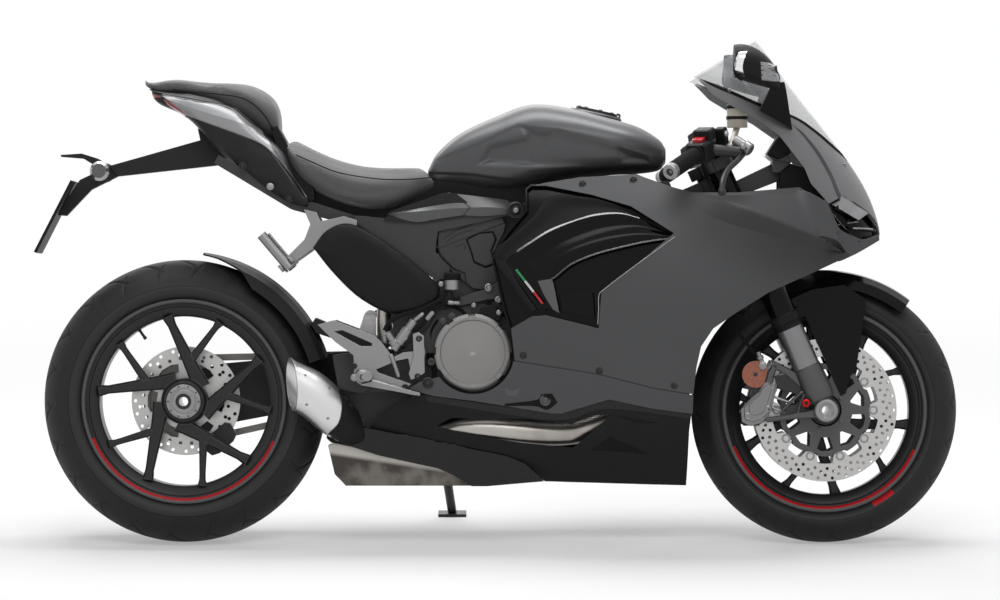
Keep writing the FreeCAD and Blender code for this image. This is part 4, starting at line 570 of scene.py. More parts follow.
# %% Dressing the solids
DRESS = {
    "engine_block engine_covers swingarm main_frame seat_frame": dark_casting,
    "clutch_cover": cover_casting,
    "footrests pillion_brackets pillion_peg_right pillion_peg_left": bright_casting,
    "fuel_tank tail_cowl lower_panels nose_stay": panel_paint,
    # The side panels' paint carries painted shade, and the nose's paler paint is a painted highlight.
    "side_panels": side_shaded_paint,
    "nose_cowl": nose_highlight_paint,
    "side_ducts front_fender fork_tubes": gloss_paint,
    "belly_panels mirrors": grained_black,
    "side_guards tail_undertray plate_bracket rear_hugger": soft_black,
    "rear_caliper fuel_lid stand_bracket side_stand fork_clamps clip_ons hand_levers": black_casting,
    "radiator front_calipers": black_casting,
    "fork_sliders": disc_carrier,
    "silencer": can_steel,
    "exhaust_collector": collector_steel,
    "exhaust_headers": warm_steel,
    "front_axle rear_axle front_discs rear_disc shock": brushed_steel,
    "chain_drive rear_sprocket": chain_metal,
    "front_tyre": front_rubber,
    "rear_tyre": rear_rubber,
    "front_rim": front_rim_paint,
    "rear_rim": rear_rim_paint,
    "rider_seat passenger_seat": cloth,
    "grips brake_hoses": grip_rubber,
    "windscreen": screen_plastic,
    "headlights": lamp_cavity,
    "rear_indicators": smoked_lens,
    "tail_light": red_lens,
    "reflectors": amber_lens,
    "brake_reservoir": fluid_cup,
    "number_plate": plate_paint,
}
for names, finish in DRESS.items():
    for name in names.split():
        for place in nodes[name].material_slots:
            place.material = finish
        if not nodes[name].material_slots:
            nodes[name].data.materials.append(finish)
print("dressed", sum(len(names.split()) for names in DRESS), "of", len(nodes), "solids")

# %% [markdown]
# ## Tyres
# A tyre section is a round tread between two bulged walls. The tread is an arc of the crown radius and
# each wall is an arc through shoulder, bulge and bead. Turned about the axle it makes a grid, and the
# tread's grooves are a height pattern taken off the radius: slanted slots whose phase runs with the turn
# and with the distance from the middle.

# %% Tyres with their tread
def arc_through(a, b, c, count):
    """Points on the circle through three points: its centre solves two perpendicular bisectors."""
    a, b, c = (np.array(p, float) for p in (a, b, c))
    rows = np.array([b - a, c - b])
    centre = np.linalg.solve(rows, [(b @ b - a @ a) / 2, (c @ c - b @ b) / 2])
    turns = np.unwrap([math.atan2(*(p - centre)[::-1]) for p in (a, b, c)])
    t = np.linspace(turns[0], turns[2], count)
    return centre + np.linalg.norm(a - centre) * np.column_stack([np.cos(t), np.sin(t)])


def tyre_part(radius, width, crown, rim_half, axle, slots, around=720):
    """A tyre as a grid over turn t and section s. The slot depth is
    3.2 * step(wave(n t / 2 pi + |y| / slant) - level), kept to a band of the tread, faded at its ends."""
    edge, bulge = width / 2, width / 2 - 5
    shoulder = radius - crown + math.sqrt(crown**2 - bulge**2)
    bead, bead_y = 232, rim_half - 7.3
    y = np.linspace(-bulge, bulge, 61)
    tread = np.column_stack([radius - crown + np.sqrt(crown**2 - y**2), y])
    wall = arc_through((shoulder, bulge), ((shoulder + bead) / 2, edge), (bead, bead_y), 12)
    bottom = [(216.3, bead_y), (216.3, -bead_y)]
    section = np.vstack([tread, wall[1:], bottom, (wall * [1, -1])[::-1][:-1]])
    r, y = section.T
    t = one_turn(around)[:, None]
    depth = np.zeros((around, len(r)))
    for count, low, high, slant, share in slots:
        for side in (-1, 1):
            out = side * y[None]
            phase = (count * t / (2 * np.pi) + out / slant + 0.25 * side) % 1
            inside_slot = np.clip((share - np.abs(phase - 0.5)) / 0.03, 0, 1)
            ends = np.clip((out - low) / 4, 0, 1) * np.clip((high - out) / 4, 0, 1)
            depth = np.maximum(depth, 3.2 * inside_slot * ends)
    depth[:, 61:] = 0
    radius_grid = r[None] - depth
    points = np.stack(
        [radius_grid * np.cos(t), np.broadcast_to(y, depth.shape), radius_grid * np.sin(t)], -1
    )
    return grid_part(points + axle, wrap_u=True, wrap_v=True)


REAR_SLOTS = [(22, 14, 66, 95, 0.055), (22, 38, 82, -150, 0.035)]
FRONT_SLOTS = [(20, 8, 44, 70, 0.055), (20, 28, 52, -110, 0.035)]
rear_tyre = tyre_part(317, 180, 95, 78, REAR_AXLE, REAR_SLOTS)
front_tyre = tyre_part(298, 120, 62, 52, FRONT_AXLE, FRONT_SLOTS)
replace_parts(piece("rear_tyre_tread", [rear_tyre], rear_rubber, "rear_wheel"), "rear_tyre")
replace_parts(piece("front_tyre_tread", [front_tyre], front_rubber, "front_wheel"), "front_tyre")

# %% [markdown]
# ## Cast wheels
# The rim is a turned section with a lip, a groove and a sloped inner face, so that it catches the light
# in rings. A spoke is a beam with eight corners to its section. It tapers from the hub to the rim, and a
# thinner branch leaves it on the way, so that each of the five forks reaches the rim twice.

# %% Rims
def beam_part(path, widths, depths, chamfer=3.0):
    """A beam along a side-view path. At each point the section is a w by d rectangle across the path
    with its corners cut off, w along the side of the path and d along the axle."""
    path = np.asarray(path, float)
    along = np.gradient(path, axis=0)
    along /= np.linalg.norm(along, axis=1)[:, None]
    side = np.cross(along, [0, 1, 0])
    w = np.asarray(widths, float)[:, None] / 2
    d = np.asarray(depths, float)[:, None] / 2
    c = np.minimum(chamfer, np.minimum(w, d) * 0.8)
    across = np.hstack([w - c, w, w, w - c, c - w, -w, -w, c - w])
    deep = np.hstack([-d, c - d, d - c, d, d, d - c, c - d, -d])
    ring = side[:, None] * across[..., None] + np.array([0, 1.0, 0]) * deep[..., None]
    return grid_part(path[:, None] + ring, wrap_v=True, caps=True)


def at_turn(axle, radius, degrees, y=0.0):
    """A point at a radius and an angle about an axle, at a place along it."""
    t = math.radians(degrees)
    return np.array([axle[0] + radius * math.cos(t), y, axle[2] + radius * math.sin(t)])


def rim_parts(axle, half, spoke_y, first_deg, foot_radius, foot_width):
    """The rim ring and its five forked spokes."""
    h = half
    lip = [
        (229, h - 1), (228, h), (224, h), (223, h - 1.5), (221, h - 1.5), (219, h - 4), (213, h - 8),
        (211, h - 12), (196, h - 20), (190, h - 26)
    ]
    seat = [(196, h - 34), (216, h - 27), (216, h - 7), (229, h - 7)]
    inner = lip + [(r, -y) for r, y in lip[::-1]]
    outer = [(r, -y) for r, y in seat[::-1]] + seat
    parts = [lathe_part(inner + outer, axle, count=160)]
    share = np.linspace(0, 1, 9)
    for index in range(5):
        first = first_deg + 72 * index
        foot, end = at_turn(axle, foot_radius, first - 62, spoke_y), at_turn(axle, 193, first, spoke_y)
        main = foot + (end - foot) * share[:, None]
        widths = foot_width + (17 - foot_width) * share**0.7
        widths[-2:] = [19, 26]
        parts.append(beam_part(main, widths, 32 - 8 * share, 4.5))
        tip = at_turn(axle, 193, first - 35, spoke_y)
        joint = end + (foot - end) * 0.64
        branch = joint + (tip - joint) * share[:, None]
        narrow = 19 - 7 * share
        narrow[-2:] = [14, 21]
        parts.append(beam_part(branch, narrow, 27 - 5 * share, 3.5))
    return parts


rear_parts = rim_parts(REAR_AXLE, 78, -52, 101, 50, 40)
REAR_HUB = [(27.3, -78), (44, -78), (50, -72), (52, -66), (52, 0), (48, 6), (27.3, 6)]
rear_parts.append(lathe_part(REAR_HUB, REAR_AXLE))
rear_wheel = piece("rear_wheel_casting", rear_parts, rear_rim_paint, "rear_wheel", smooth=28)
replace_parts(rear_wheel, "rear_rim")
front_parts = rim_parts(FRONT_AXLE, 52, 0, 62, 34, 32)
FRONT_HUB = [(14.1, -69), (32, -69), (36, -64), (36, 64), (32, 69), (14.1, 69)]
front_parts.append(lathe_part(FRONT_HUB, FRONT_AXLE))
front_wheel = piece("front_wheel_casting", front_parts, front_rim_paint, "front_wheel", smooth=28)
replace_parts(front_wheel, "front_rim")

# %% [markdown]
# ## Brake discs
# A disc is a flat ring with rows of holes. One face can't hold a hole, so a constrained Delaunay fill
# covers the outline with triangles, leaves out each hole's loop and is repeated on the other face. The
# front rings float on dark carriers through ten bright bobbins.

# %% Flat plates with holes
def inside(points, loop):
    """Which points lie inside a loop: a ray to the right crosses its edges an odd number of times."""
    x, z = points[:, :1], points[:, 1:]
    a, b = loop, np.roll(loop, -1, 0)
    crosses = (a[:, 1] > z) != (b[:, 1] > z)
    reach = a[:, 0] + (z - a[:, 1]) / (b[:, 1] - a[:, 1] + 1e-12) * (b[:, 0] - a[:, 0])
    return (crosses & (x < reach)).sum(1) % 2 == 1


def plate_part(outline, low, high, holes=()):
    """A flat plate in side view. A constrained Delaunay fill covers the (x, z) outline less its holes,
    and the fill is repeated at y = low and y = high with a wall along every loop."""
    loops = [np.asarray(outline, float)] + [np.asarray(hole, float) for hole in holes]
    points, edges = [], []
    for loop in loops:
        first = len(points)
        points += [Vector((x, z)) for x, z in loop]
        edges += [(first + i, first + (i + 1) % len(loop)) for i in range(len(loop))]
    found, _, faces, origin, _, _ = geometry.delaunay_2d_cdt(points, edges, [], 2, 1e-6)
    flat = np.array([(p.x, p.y) for p in found])
    middle = np.array([flat[list(face)].mean(0) for face in faces])
    hollow = np.zeros(len(faces), bool)
    for loop in loops[1:]:
        hollow |= inside(middle, loop)
    faces = [list(face) for face, out in zip(faces, hollow) if not out]
    count = len(flat)
    sheets = [np.column_stack([flat[:, 0], np.full(count, y), flat[:, 1]]) for y in (low, high)]
    back = [[i + count for i in face[::-1]] for face in faces]
    place = {source: i for i, sources in enumerate(origin) for source in sources}
    walls = [[place[a], place[b], place[b] + count, place[a] + count] for a, b in edges]
    return np.vstack(sheets), faces + back + walls


def smooth_step(value, low, high):
    """3 s^2 - 2 s^3 for the share s of the way from low to high, kept between 0 and 1."""
    s = np.clip((value - low) / (high - low), 0, 1)
    return 3 * s**2 - 2 * s**3


def circle(centre, radius, count=16):
    """Points on a circle of the side view."""
    t = one_turn(count)
    return np.column_stack([centre[0] + radius * np.cos(t), centre[1] + radius * np.sin(t)])


print("a disc of ten corners fills with", len(plate_part(circle((0, 0), 1, 10), 0, 1)[1]), "faces")

# %% Holes and waves of a disc
def hole_rows(centre, rows, size=4.0):
    """Round holes on circles: each row is (radius, count, first angle)."""
    holes = []
    for radius, count, first in rows:
        for index in range(count):
            spot = at_turn(centre, radius, first + 360 * index / count)
            holes.append(circle((spot[0], spot[2]), size, 10))
    return holes


def flat(centre, radius, count=120):
    """A circle about an axle in the side view."""
    return circle((centre[0], centre[2]), radius, count)


def waved_circle(centre, radius, dip, count=10, half_width=8.0, points=360):
    """A circle whose radius falls by the dip at a number of places round it."""
    t = one_turn(points)
    away = np.degrees(np.abs((t * count + np.pi) % (2 * np.pi) - np.pi)) / count
    r = radius - dip * smooth_step(half_width + 2.5 - away, 0, 4)
    return np.column_stack([centre[0] + r * np.cos(t), centre[2] + r * np.sin(t)])


def knob_part(profile, centre, count=20, axis=(0, -1, 0)):
    """A turned shape closed by caps, such as a screw's head. It faces out to the right unless told."""
    return lathe_part(profile, centre, axis, count, False)


# %% Front discs
FRONT_ROWS = [(153, 30, 0), (146, 30, 6), (138, 30, 2), (131, 30, 8)]
rings, carriers, bobbins = [], [], []
windows = []
WIDE_WINDOW = [(62, 9), (62, -9), (88, -12), (92, -6), (92, 6), (88, 12)]
FORKED_WINDOW = [(60, 2), (60, -2), (88, -13), (92, 0), (88, 13)]
BOBBIN = [(10.5, -2.8), (10.5, 2.8), (9, 3.2), (6.5, 3.2), (5, 1.5), (5, -1.5), (6.5, -3.2), (9, -3.2)]
DISC_OUT = 66
for index in range(10):
    shape = WIDE_WINDOW if index % 2 else FORKED_WINDOW
    corners = [at_turn(FRONT_AXLE, r, 18 + 36 * index + a) for r, a in shape]
    windows.append([(p[0], p[2]) for p in corners])
for side in (-1, 1):
    middle = side * DISC_OUT
    holes = [waved_circle(FRONT_AXLE, 120, 19)] + hole_rows(FRONT_AXLE, FRONT_ROWS, 3.6)
    rings.append(plate_part(flat(FRONT_AXLE, 160), middle - 2.5, middle + 2.5, holes))
    outer = waved_circle(FRONT_AXLE, 104, 5)
    openings = [flat(FRONT_AXLE, 36.3, 60)] + windows
    carriers.append(plate_part(outer, middle - 3.1, middle + 3.1, openings))
    for index in range(10):
        bobbins.append(lathe_part(BOBBIN, at_turn(FRONT_AXLE, 108, 36 * index, middle), count=24))
    for index in range(5):
        screw = [(6, -3 * side), (6, 3.6 * side), (4, 4.6 * side), (0, 4.6 * side)]
        carriers.append(knob_part(screw, at_turn(FRONT_AXLE, 44, 36 + 72 * index, middle), 16, (0, 1, 0)))
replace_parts(piece("front_brake_rings", rings, brushed_steel, "front_wheel", smooth=40), "front_discs")
piece("front_disc_carriers", carriers, disc_carrier, "front_wheel", bevel=1)
piece("front_disc_bobbins", bobbins, bright_casting, "front_wheel")

# %% Rear disc
REAR_ROWS = [(114, 24, 0), (105, 12, 7.5), (96, 24, 7.5)]
REAR_WINDOW = [(66, -16), (66, 0), (66, 16), (84, 18), (87, 8), (87, -8), (84, -18)]
holes = [flat(REAR_AXLE, 27.3, 48)]
for index in range(6):
    loop = [at_turn(REAR_AXLE, r, 60 * index + a) for r, a in REAR_WINDOW]
    holes.append([(p[0], p[2]) for p in loop])
holes += hole_rows(REAR_AXLE, REAR_ROWS)
rear_ring = plate_part(flat(REAR_AXLE, 122.5), 21.5, 26.5, holes)
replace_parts(piece("rear_brake_disc", [rear_ring], brushed_steel, "rear_wheel", smooth=40), "rear_disc")

# %% [markdown]
# ## Finding the skin
# Small hardware sits on the solids, so its depth is measured and not guessed. A ray goes square to the
# bike's side from a point of the side view, and the first solid it meets gives y there.

# %% Rays from the side
TREES = {}


def skin_y(names, x, z):
    """Upright y of the first of the named solids met by a ray from the right at (x, z), or None."""
    start = Vector(parked([x, -600, z]))
    way = Vector((0, math.cos(LEAN), -math.sin(LEAN)))
    found = []
    for name in names.split():
        if name not in TREES:
            mesh = nodes[name].data
            corners = [nodes[name].matrix_world @ vertex.co for vertex in mesh.vertices]
            TREES[name] = BVHTree.FromPolygons(corners, [list(face.vertices) for face in mesh.polygons])
        distance = TREES[name].ray_cast(start, way)[3]
        if distance is not None:
            found.append(-600 + 1000 * distance)
    return min(found) if found else None


CLUTCH = np.array([-71.0, 0, 427.0])
face_y = skin_y("clutch_cover", CLUTCH[0], CLUTCH[2])
print("clutch cover's face at y =", round(face_y, 1))

# %% [markdown]
# ## On the fairing's skin
# Many small forms sit on the side fairing. The solid model's skin has a half width that is a product of a
# plan curve and an upright curve, and the same formula here puts a point of the side view on that skin.
# A sheet between two side-view curves can then be sunk under the skin by a table of depths. The curves
# pass through a few chosen points, and a circle carried along such a curve makes a tube.

# %% Smooth paths and tubes
def smooth_path(points, count):
    """A rounded path through points: Catmull-Rom pieces, each a cubic in its own share of the way."""
    p = np.asarray(points, float)
    p = np.vstack([2 * p[0] - p[1], p, 2 * p[-1] - p[-2]])
    place = np.linspace(0, len(p) - 3 - 1e-9, count)
    i = place.astype(int)
    t = (place - i)[:, None]
    a, b, c, d = p[i], p[i + 1], p[i + 2], p[i + 3]
    return 0.5 * (2 * b + (c - a) * t + (2 * a - 5 * b + 4 * c - d) * t**2 + (3 * b - a - 3 * c + d) * t**3)


def tube_part(points, radius, sides=10, count=None):
    """A tube along a path. At each point two vectors square to the path carry a circle of the radius,
    which may be one number or one for each point."""
    path = np.asarray(points, float) if count is None else smooth_path(points, count)
    along = np.gradient(path, axis=0)
    along /= np.linalg.norm(along, axis=1)[:, None]
    side = np.cross(along, frame_of(along[0])[1])
    side = np.cross(side, along)
    side /= np.linalg.norm(side, axis=1)[:, None]
    up = np.cross(side, along)
    t = one_turn(sides)
    r = np.broadcast_to(np.asarray(radius, float), len(path))[:, None, None]
    ring = side[:, None] * np.cos(t)[:, None] + up[:, None] * np.sin(t)[:, None]
    return grid_part(path[:, None] + r * ring, wrap_v=True, caps=True)


bend = smooth_path([(0, 0), (1, 1), (2, 0)], 5)
print("a path through three points, at five places:", np.round(bend, 2).tolist())

# %% Sheets under the skin
def fairing_half(x, z):
    """Half width of the fairing: 222 times a plan curve in x times an upright curve in z."""
    ahead, behind = np.maximum(x - 430, 0) / 440, np.maximum(430 - x, 0) / 454
    plan = 1 - 0.85 * ahead**2.2 - 0.2 * behind**1.3
    upright = 1 - 0.2 * (np.maximum(z - 560, 0) / 264) ** 2 - 0.07 * (np.maximum(560 - z, 0) / 230) ** 2
    return 222 * plan * (upright - 0.4 * (np.maximum(330 - z, 0) / 200) ** 1.6)


def skin_sheet(first, last, table, wall=2.0, count=48, rows=14, half=fairing_half):
    """A thin closed sheet between two side-view curves a and b. Row v lies at (1 - v) a + v b, sunk by
    the (v, depth) table, and the same rows a wall further in close it behind."""
    a, b = smooth_path(first, count), smooth_path(last, count)
    v, depth = smooth_path(table, rows).T
    v, depth = np.append(v, v[::-1]), np.append(depth, depth[::-1] + wall)
    flat_points = a[:, None] * (1 - v)[None, :, None] + b[:, None] * v[None, :, None]
    x, z = flat_points[..., 0], flat_points[..., 1]
    return grid_part(np.stack([x, depth - half(x, z), z], -1), wrap_v=True, caps=True)


def mirrored(part):
    """The same part on the other side of the bike, with its faces turned round to point outwards."""
    return part[0] * [1, -1, 1], [face[::-1] for face in part[1]]


def both_sides(parts):
    """The parts of the right side together with their mirror images."""
    return parts + [mirrored(part) for part in parts]


def pair(name, parts, finish, body="motorcycle", **options):
    """A piece made of the right side's parts together with their mirror images."""
    return piece(name, both_sides(parts), finish, body, **options)


# %% [markdown]
# ## The side duct
# Warm air leaves the fairing through the duct. Two polished blades cross it, each with a ridge and a
# hollow. They could be modelled from a plane by hand, but a sheet that is sunk row by row keeps its ridge
# sharp, and narrow strips along ridge and lip catch the light as a rolled edge does.

# %% Blades of the side duct
RIM_TOP = [
    (-24, 641), (-14, 662), (20, 690), (62, 728), (102, 775), (181, 773), (229, 762), (276, 743),
    (327, 718), (375, 693)
]
RIDGE = [
    (4, 629), (28, 649), (55, 667), (102, 696), (165, 721), (213, 732), (260, 734), (300, 724),
    (340, 706), (373, 689)
]
LIP = [
    (121, 520), (108, 560), (102, 589), (112, 598), (146, 625), (197, 647), (260, 664), (316, 676),
    (373, 684)
]
INNER = [
    (72, 524), (40, 568), (4, 629), (38, 656), (102, 696), (165, 721), (213, 732), (290, 728), (371, 689)
]
upper_blade = skin_sheet(RIM_TOP, RIDGE, [(0, 3), (0.12, 2.2), (0.5, 6), (0.85, 4.5), (1, 0.6)])
edge_band = skin_sheet(
    [(-24, 641), (-15, 619), (14, 581), (39, 543), (61, 518)], INNER[:3][::-1],
    [(0, 3), (0.3, 0.5), (0.8, 0.5), (1, 3)]
)
lower_blade = skin_sheet(
    INNER, LIP, [(0, 0.8), (0.06, 3.5), (0.3, 9.5), (0.5, 8), (0.68, 3.6), (0.85, 3.2), (1, 5.5)], rows=26
)
lip_roll = skin_sheet(LIP[1:], [(x + 5, z - 5) for x, z in LIP[1:]], [(0, 5.2), (0.5, 4.2), (1, 8)], rows=6)
pair("duct_frames", [upper_blade, edge_band], satin_black)
pair("duct_blades", [lower_blade, lip_roll], gloss_paint)
floor_plate = skin_sheet(
    [(120, 560), (125, 520)], [(196, 560), (200, 505)], [(0, 12), (0.1, 10), (0.9, 10), (1, 12)], count=8
)
pair("duct_inner_plates", [floor_plate], gloss_paint)
high = RIDGE[1:8]
ridge_edge = skin_sheet(
    [(x - 2, z + 6) for x, z in high], high, [(0, 4.8), (0.15, 3.8), (0.85, 0), (1, 1.2)], 2, 60, 8
)
lip_edge = skin_sheet(
    LIP[1:], [(x + 1.5, z - 3.5) for x, z in LIP[1:]], [(0, 5), (0.2, 4.2), (0.9, 2.6), (1, 3.5)], 2, 60,
    6
)
# A pale tube along the duct's cut edge is a painted highlight.
CUT_EDGE = [(377, 684), (330, 650), (270, 606), (222, 569), (209, 555), (208, 520), (206, 490)]
cut_edge_painted_highlight = [(x, -float(fairing_half(x, z)) - 0.4, z) for x, z in CUT_EDGE]
pair("duct_bright_edges", [ridge_edge, lip_edge], edge_gloss)
pair("duct_cut_edge_highlights", [tube_part(cut_edge_painted_highlight, 1.2, 6, 40)], pale_highlight_paint)
# A satin grey facet in the duct's corner is a painted reflection of the light in the polished blade.
reflection_facet = skin_sheet(
    [(73, 586), (90, 550), (107, 523)], [(104, 591), (109, 576), (121, 515)],
    [(0, 3), (0.5, 2.2), (1, 3)], 1.5, 10, 5
)
pair("duct_painted_reflection_facets", [reflection_facet], cover_paint)

# %% [markdown]
# ## Crease and stripe
# Above the duct the fairing folds outwards along a line that ends at the lamp. A sheet through three
# curves, whose middle one stands off the skin, is enough to turn the light there. The small stripe beside
# the duct is three short sheets, one for each colour.

# %% Crease of the upper fairing
def folded_skin(curves, lifts, proud, wall=3.0, count=80, between=6):
    """A sheet through several side-view curves. Each stands off the fairing by its lift, tapered in over
    the first quarter, and from x = 640 to 694 the half width goes over to the row's proud value."""
    rows = np.array([smooth_path(curve, count) for curve in curves])
    place = np.linspace(0, len(curves) - 1, (len(curves) - 1) * between + 1)
    low = np.minimum(place.astype(int), len(curves) - 2)
    share = (place - low)[:, None, None]
    flat_points = rows[low] * (1 - share) + rows[low + 1] * share
    x, z = flat_points[..., 0], flat_points[..., 1]
    taper = smooth_step(np.linspace(0, 1, count), 0, 0.25)
    lift = np.interp(place, range(len(lifts)), lifts)[:, None] * taper
    target = np.interp(place, range(len(proud)), proud)[:, None]
    half = fairing_half(x, z) + lift
    half += np.maximum(target - half, 0) * smooth_step(x, 640, 694)
    front = np.stack([x, -half, z], -1)
    closed = np.concatenate([front, front[::-1] + [0, wall, 0]])
    return grid_part(closed.transpose(1, 0, 2), wrap_v=True, caps=True)


UPPER = [
    (425, 774), (484, 777), (557, 781), (620, 785), (664, 787), (694, 775), (718, 757), (729, 722),
    (741, 682), (756, 655)
]
CREASE = [
    (424, 768), (491, 764), (538, 746), (588, 725), (645, 703), (694, 690), (720, 683), (738, 677),
    (750, 664), (757, 652)
]
UNDER = [
    (420, 758), (456, 724), (506, 706), (557, 692), (620, 676), (677, 661), (705, 656), (730, 653),
    (748, 651), (759, 649)
]
crease = folded_skin([UPPER, CREASE, UNDER], [-1, 8, -1], [162, 163, 110])
pair("fairing_creases", [crease], side_shaded_paint, smooth=40)

STRIPE_ENDS = [(25, 612), (45, 586), (64, 562), (84, 536)]
for colour, start, end in zip(("green", "white", "red"), STRIPE_ENDS, STRIPE_ENDS[1:]):
    along = np.array(end) - start
    along = along / np.linalg.norm(along)
    side = np.array([-along[1], along[0]]) * 2.6
    a, b = np.array(start) + side, np.array(end) + side
    share = np.linspace(0, 1, 8)[:, None]
    strip = skin_sheet(
        a + (b - a) * share, a - 2 * side + (b - a) * share, [(0, 4.2), (0.5, 4.0), (1, 4.2)], 1.2, 8, 5
    )
    pair(f"duct_stripe_{colour}", [strip], stripe_paint[colour])

# %% [markdown]
# ## The tail's pale band
# Under the seat pad runs a band that leans outwards and so looks up at the light, folded once along its
# length. Its pale greys are a painted highlight of that light. It is a sheet on the tail's rounded
# section, standing off it by a few millimetres.

# %% Band, crease and scoop on the tail
TAIL = np.array([
    (-792, 1003, 1018, 31.5), (-755, 975, 1010, 63), (-703, 945, 1008, 88), (-650, 885, 1000, 103.5),
    (-600, 838, 982, 116), (-548, 795, 930, 123.5), (-499, 762, 890, 126), (-465, 752, 812, 126),
    (-440, 750, 778, 118.5)
])


def tail_half(x, z):
    """Half width of the tail: a (1 - |(z - m) / b|^3.2)^(1/3.2), with a, b and m read along x."""
    low, high, half = (np.interp(x, TAIL[:, 0], TAIL[:, n]) for n in (1, 2, 3))
    share = np.clip(np.abs(z - (low + high) / 2) / ((high - low) / 2), 0, 0.97)
    return half * (1 - share**3.2) ** (1 / 3.2)


BAND_TOP = [
    (-770, 1003), (-700, 992), (-633, 979), (-608, 970), (-569, 938), (-545, 922), (-521, 885),
    (-480, 830), (-442, 776)
]
BAND_FOLD = [
    (-758, 994), (-700, 972), (-633, 952), (-590, 939), (-556, 924), (-532, 905), (-508, 868),
    (-474, 820), (-442, 774)
]
BAND_LOW = [
    (-712, 958), (-680, 945), (-608, 919), (-560, 900), (-535, 886), (-515, 868), (-496, 847),
    (-468, 812), (-443, 772)
]
upper_half = skin_sheet(BAND_TOP, BAND_FOLD, [(0, 2), (0.1, -1.5), (1, -7)], 3, 60, 8, tail_half)
lower_half = skin_sheet(BAND_FOLD, BAND_LOW, [(0, -7), (0.85, -2), (1, 1)], 3, 60, 8, tail_half)
# Both halves of the band are pale as a painted highlight.
pair("tail_upper_highlight_band", [upper_half], pale_highlight_paint)
pair("tail_lower_highlight_band", [lower_half], lower_band_highlight_paint)
lens = skin_sheet(
    [(-780, 1000), (-750, 978), (-718, 955)], [(-772, 1004), (-742, 982), (-710, 960)],
    [(0, 1), (0.5, -1), (1, 1)], 2, 16, 5, tail_half
)
pair("tail_light_wings", [lens], red_lens)
PAD_EDGE = [
    (-800, 1018), (-745, 1020), (-680, 1016), (-640, 1010), (-590, 1000), (-556, 982), (-530, 955),
    (-512, 915)
]
PAD_FOOT = [
    (-790, 1011), (-745, 1001), (-690, 991), (-633, 980), (-606, 970), (-568, 939), (-545, 923),
    (-524, 892)
]
skirt = skin_sheet(
    PAD_EDGE, PAD_FOOT, [(0, 4), (0.3, -3), (0.6, -5), (0.9, -3), (1, 1)], 3, 60, 12, tail_half
)
pair("pad_sides", [skirt], cloth, smooth=60)
# A thin pale tube along the band's top edge is a painted glint.
GLINT = [(-768, 1004), (-700, 991), (-633, 979), (-606, 969), (-569, 938), (-545, 922), (-521, 886)]
glint = [(x, -float(tail_half(x, z)) - 1.5, z) for x, z in GLINT]
pair("tail_painted_glint_lines", [tube_part(glint, 1.3, 6, 60)], pale_highlight_paint)


def plate_piece(name, outline, near, far, finish, bevel=3):
    """A piece that is one plate with rounded edges, from y = near to y = far."""
    return piece(name, [plate_part(outline, near, far)], finish, smooth=25, bevel=bevel)


REAR_WALL = [
    (-524, 930), (-508, 934), (-488, 898), (-470, 852), (-425, 800), (-425, 765), (-452, 760), (-500, 850)
]
plate_piece("seat_rear_wall", REAR_WALL, -96, 96, satin_black)

# %% [markdown]
# ## The tank
# The tank is a row of rounded sections, |y/a|^2.8 + |z/b|^2.8 = 1, with a knee hollow pressed into each
# side. The hollow's outline is known in side view, so its depth is a smooth step of the distance inside
# that outline, taken off the half width. A belt along the foot and a fold over the shoulder are pressed
# in the same way, and a pad in the hollow is raised.

# %% Pressed tank
def depth_inside(points, loop):
    """Distance of side-view points inside a loop, and minus the distance outside it."""
    loop = np.asarray(loop, float)
    ends = np.roll(loop, -1, 0)
    flat_points = points.reshape(-1, 1, 2)
    along = ends - loop
    share = ((flat_points - loop) * along).sum(-1) / (along**2).sum(-1)
    nearest = loop + np.clip(share, 0, 1)[..., None] * along
    distance = np.linalg.norm(flat_points - nearest, axis=-1).min(1)
    sign = np.where(inside(points.reshape(-1, 2), loop), 1, -1)
    return (distance * sign).reshape(points.shape[:-1])


def rounded_rows(stations, power, rows, around):
    """Rounded sections through a smooth row of (x, z low, z high, half width) stations."""
    x, low, high, half = smooth_path(stations, rows).T
    t = one_turn(around)
    c, s = np.cos(t), np.sin(t)
    across = np.sign(c) * np.abs(c) ** (2 / power)
    up = np.sign(s) * np.abs(s) ** (2 / power)
    middle, tall = (low + high) / 2, (high - low) / 2
    return np.stack(
        [np.repeat(x[:, None], around, 1), half[:, None] * across, middle[:, None] + tall[:, None] * up],
        -1
    )


TANK = [
    (-172, 800, 836, 61), (-150, 795, 875, 78), (-100, 792, 918, 94), (-20, 785, 956, 118),
    (60, 795, 983, 141), (150, 815, 974, 155), (240, 825, 951, 160), (300, 828, 932, 141),
    (345, 835, 905, 106), (360, 850, 885, 80)
]
tank = rounded_rows(TANK, 2.8, 190, 200)
side_view = tank[..., [0, 2]]
KNEE = [
    (27, 938), (85, 924), (120, 926), (205, 905), (263, 889), (322, 868), (330, 846), (240, 838),
    (60, 836), (-70, 842), (-38, 894), (44, 912)
]
BELT = [(-185, 834), (-75, 829), (85, 806), (30, 776), (-139, 780), (-190, 800)]
knee_hollow = smooth_step(depth_inside(side_view, KNEE), 0, 20)
pressed = 13 * knee_hollow + 6 * smooth_step(depth_inside(side_view, BELT), 0, 8)
FOLD = [
    (-190, 700), (-190, 850), (-60, 898), (27, 938), (120, 926), (205, 905), (330, 866), (400, 850),
    (400, 700)
]
pressed += 3 * smooth_step(depth_inside(side_view, FOLD), 0, 10)
PAD = [(61, 856), (104, 916), (143, 916), (247, 890), (264, 856), (250, 847), (66, 848)]
pressed -= 5 * smooth_step(depth_inside(side_view, PAD), -4, 10)
reach = np.clip(np.abs(tank[..., 1]) / 60, 0, 1)
tank[..., 1] -= np.sign(tank[..., 1]) * pressed * reach
LID = np.array([205.0, 0, 964.0])
LID_UP = np.array([0.22, 0, 1.0]) / np.hypot(0.22, 1)
collar = lathe_part([(50, -14), (58, -12), (60, -3), (57, 0.8), (49, 0.8), (47, -1)], LID, LID_UP, 72)
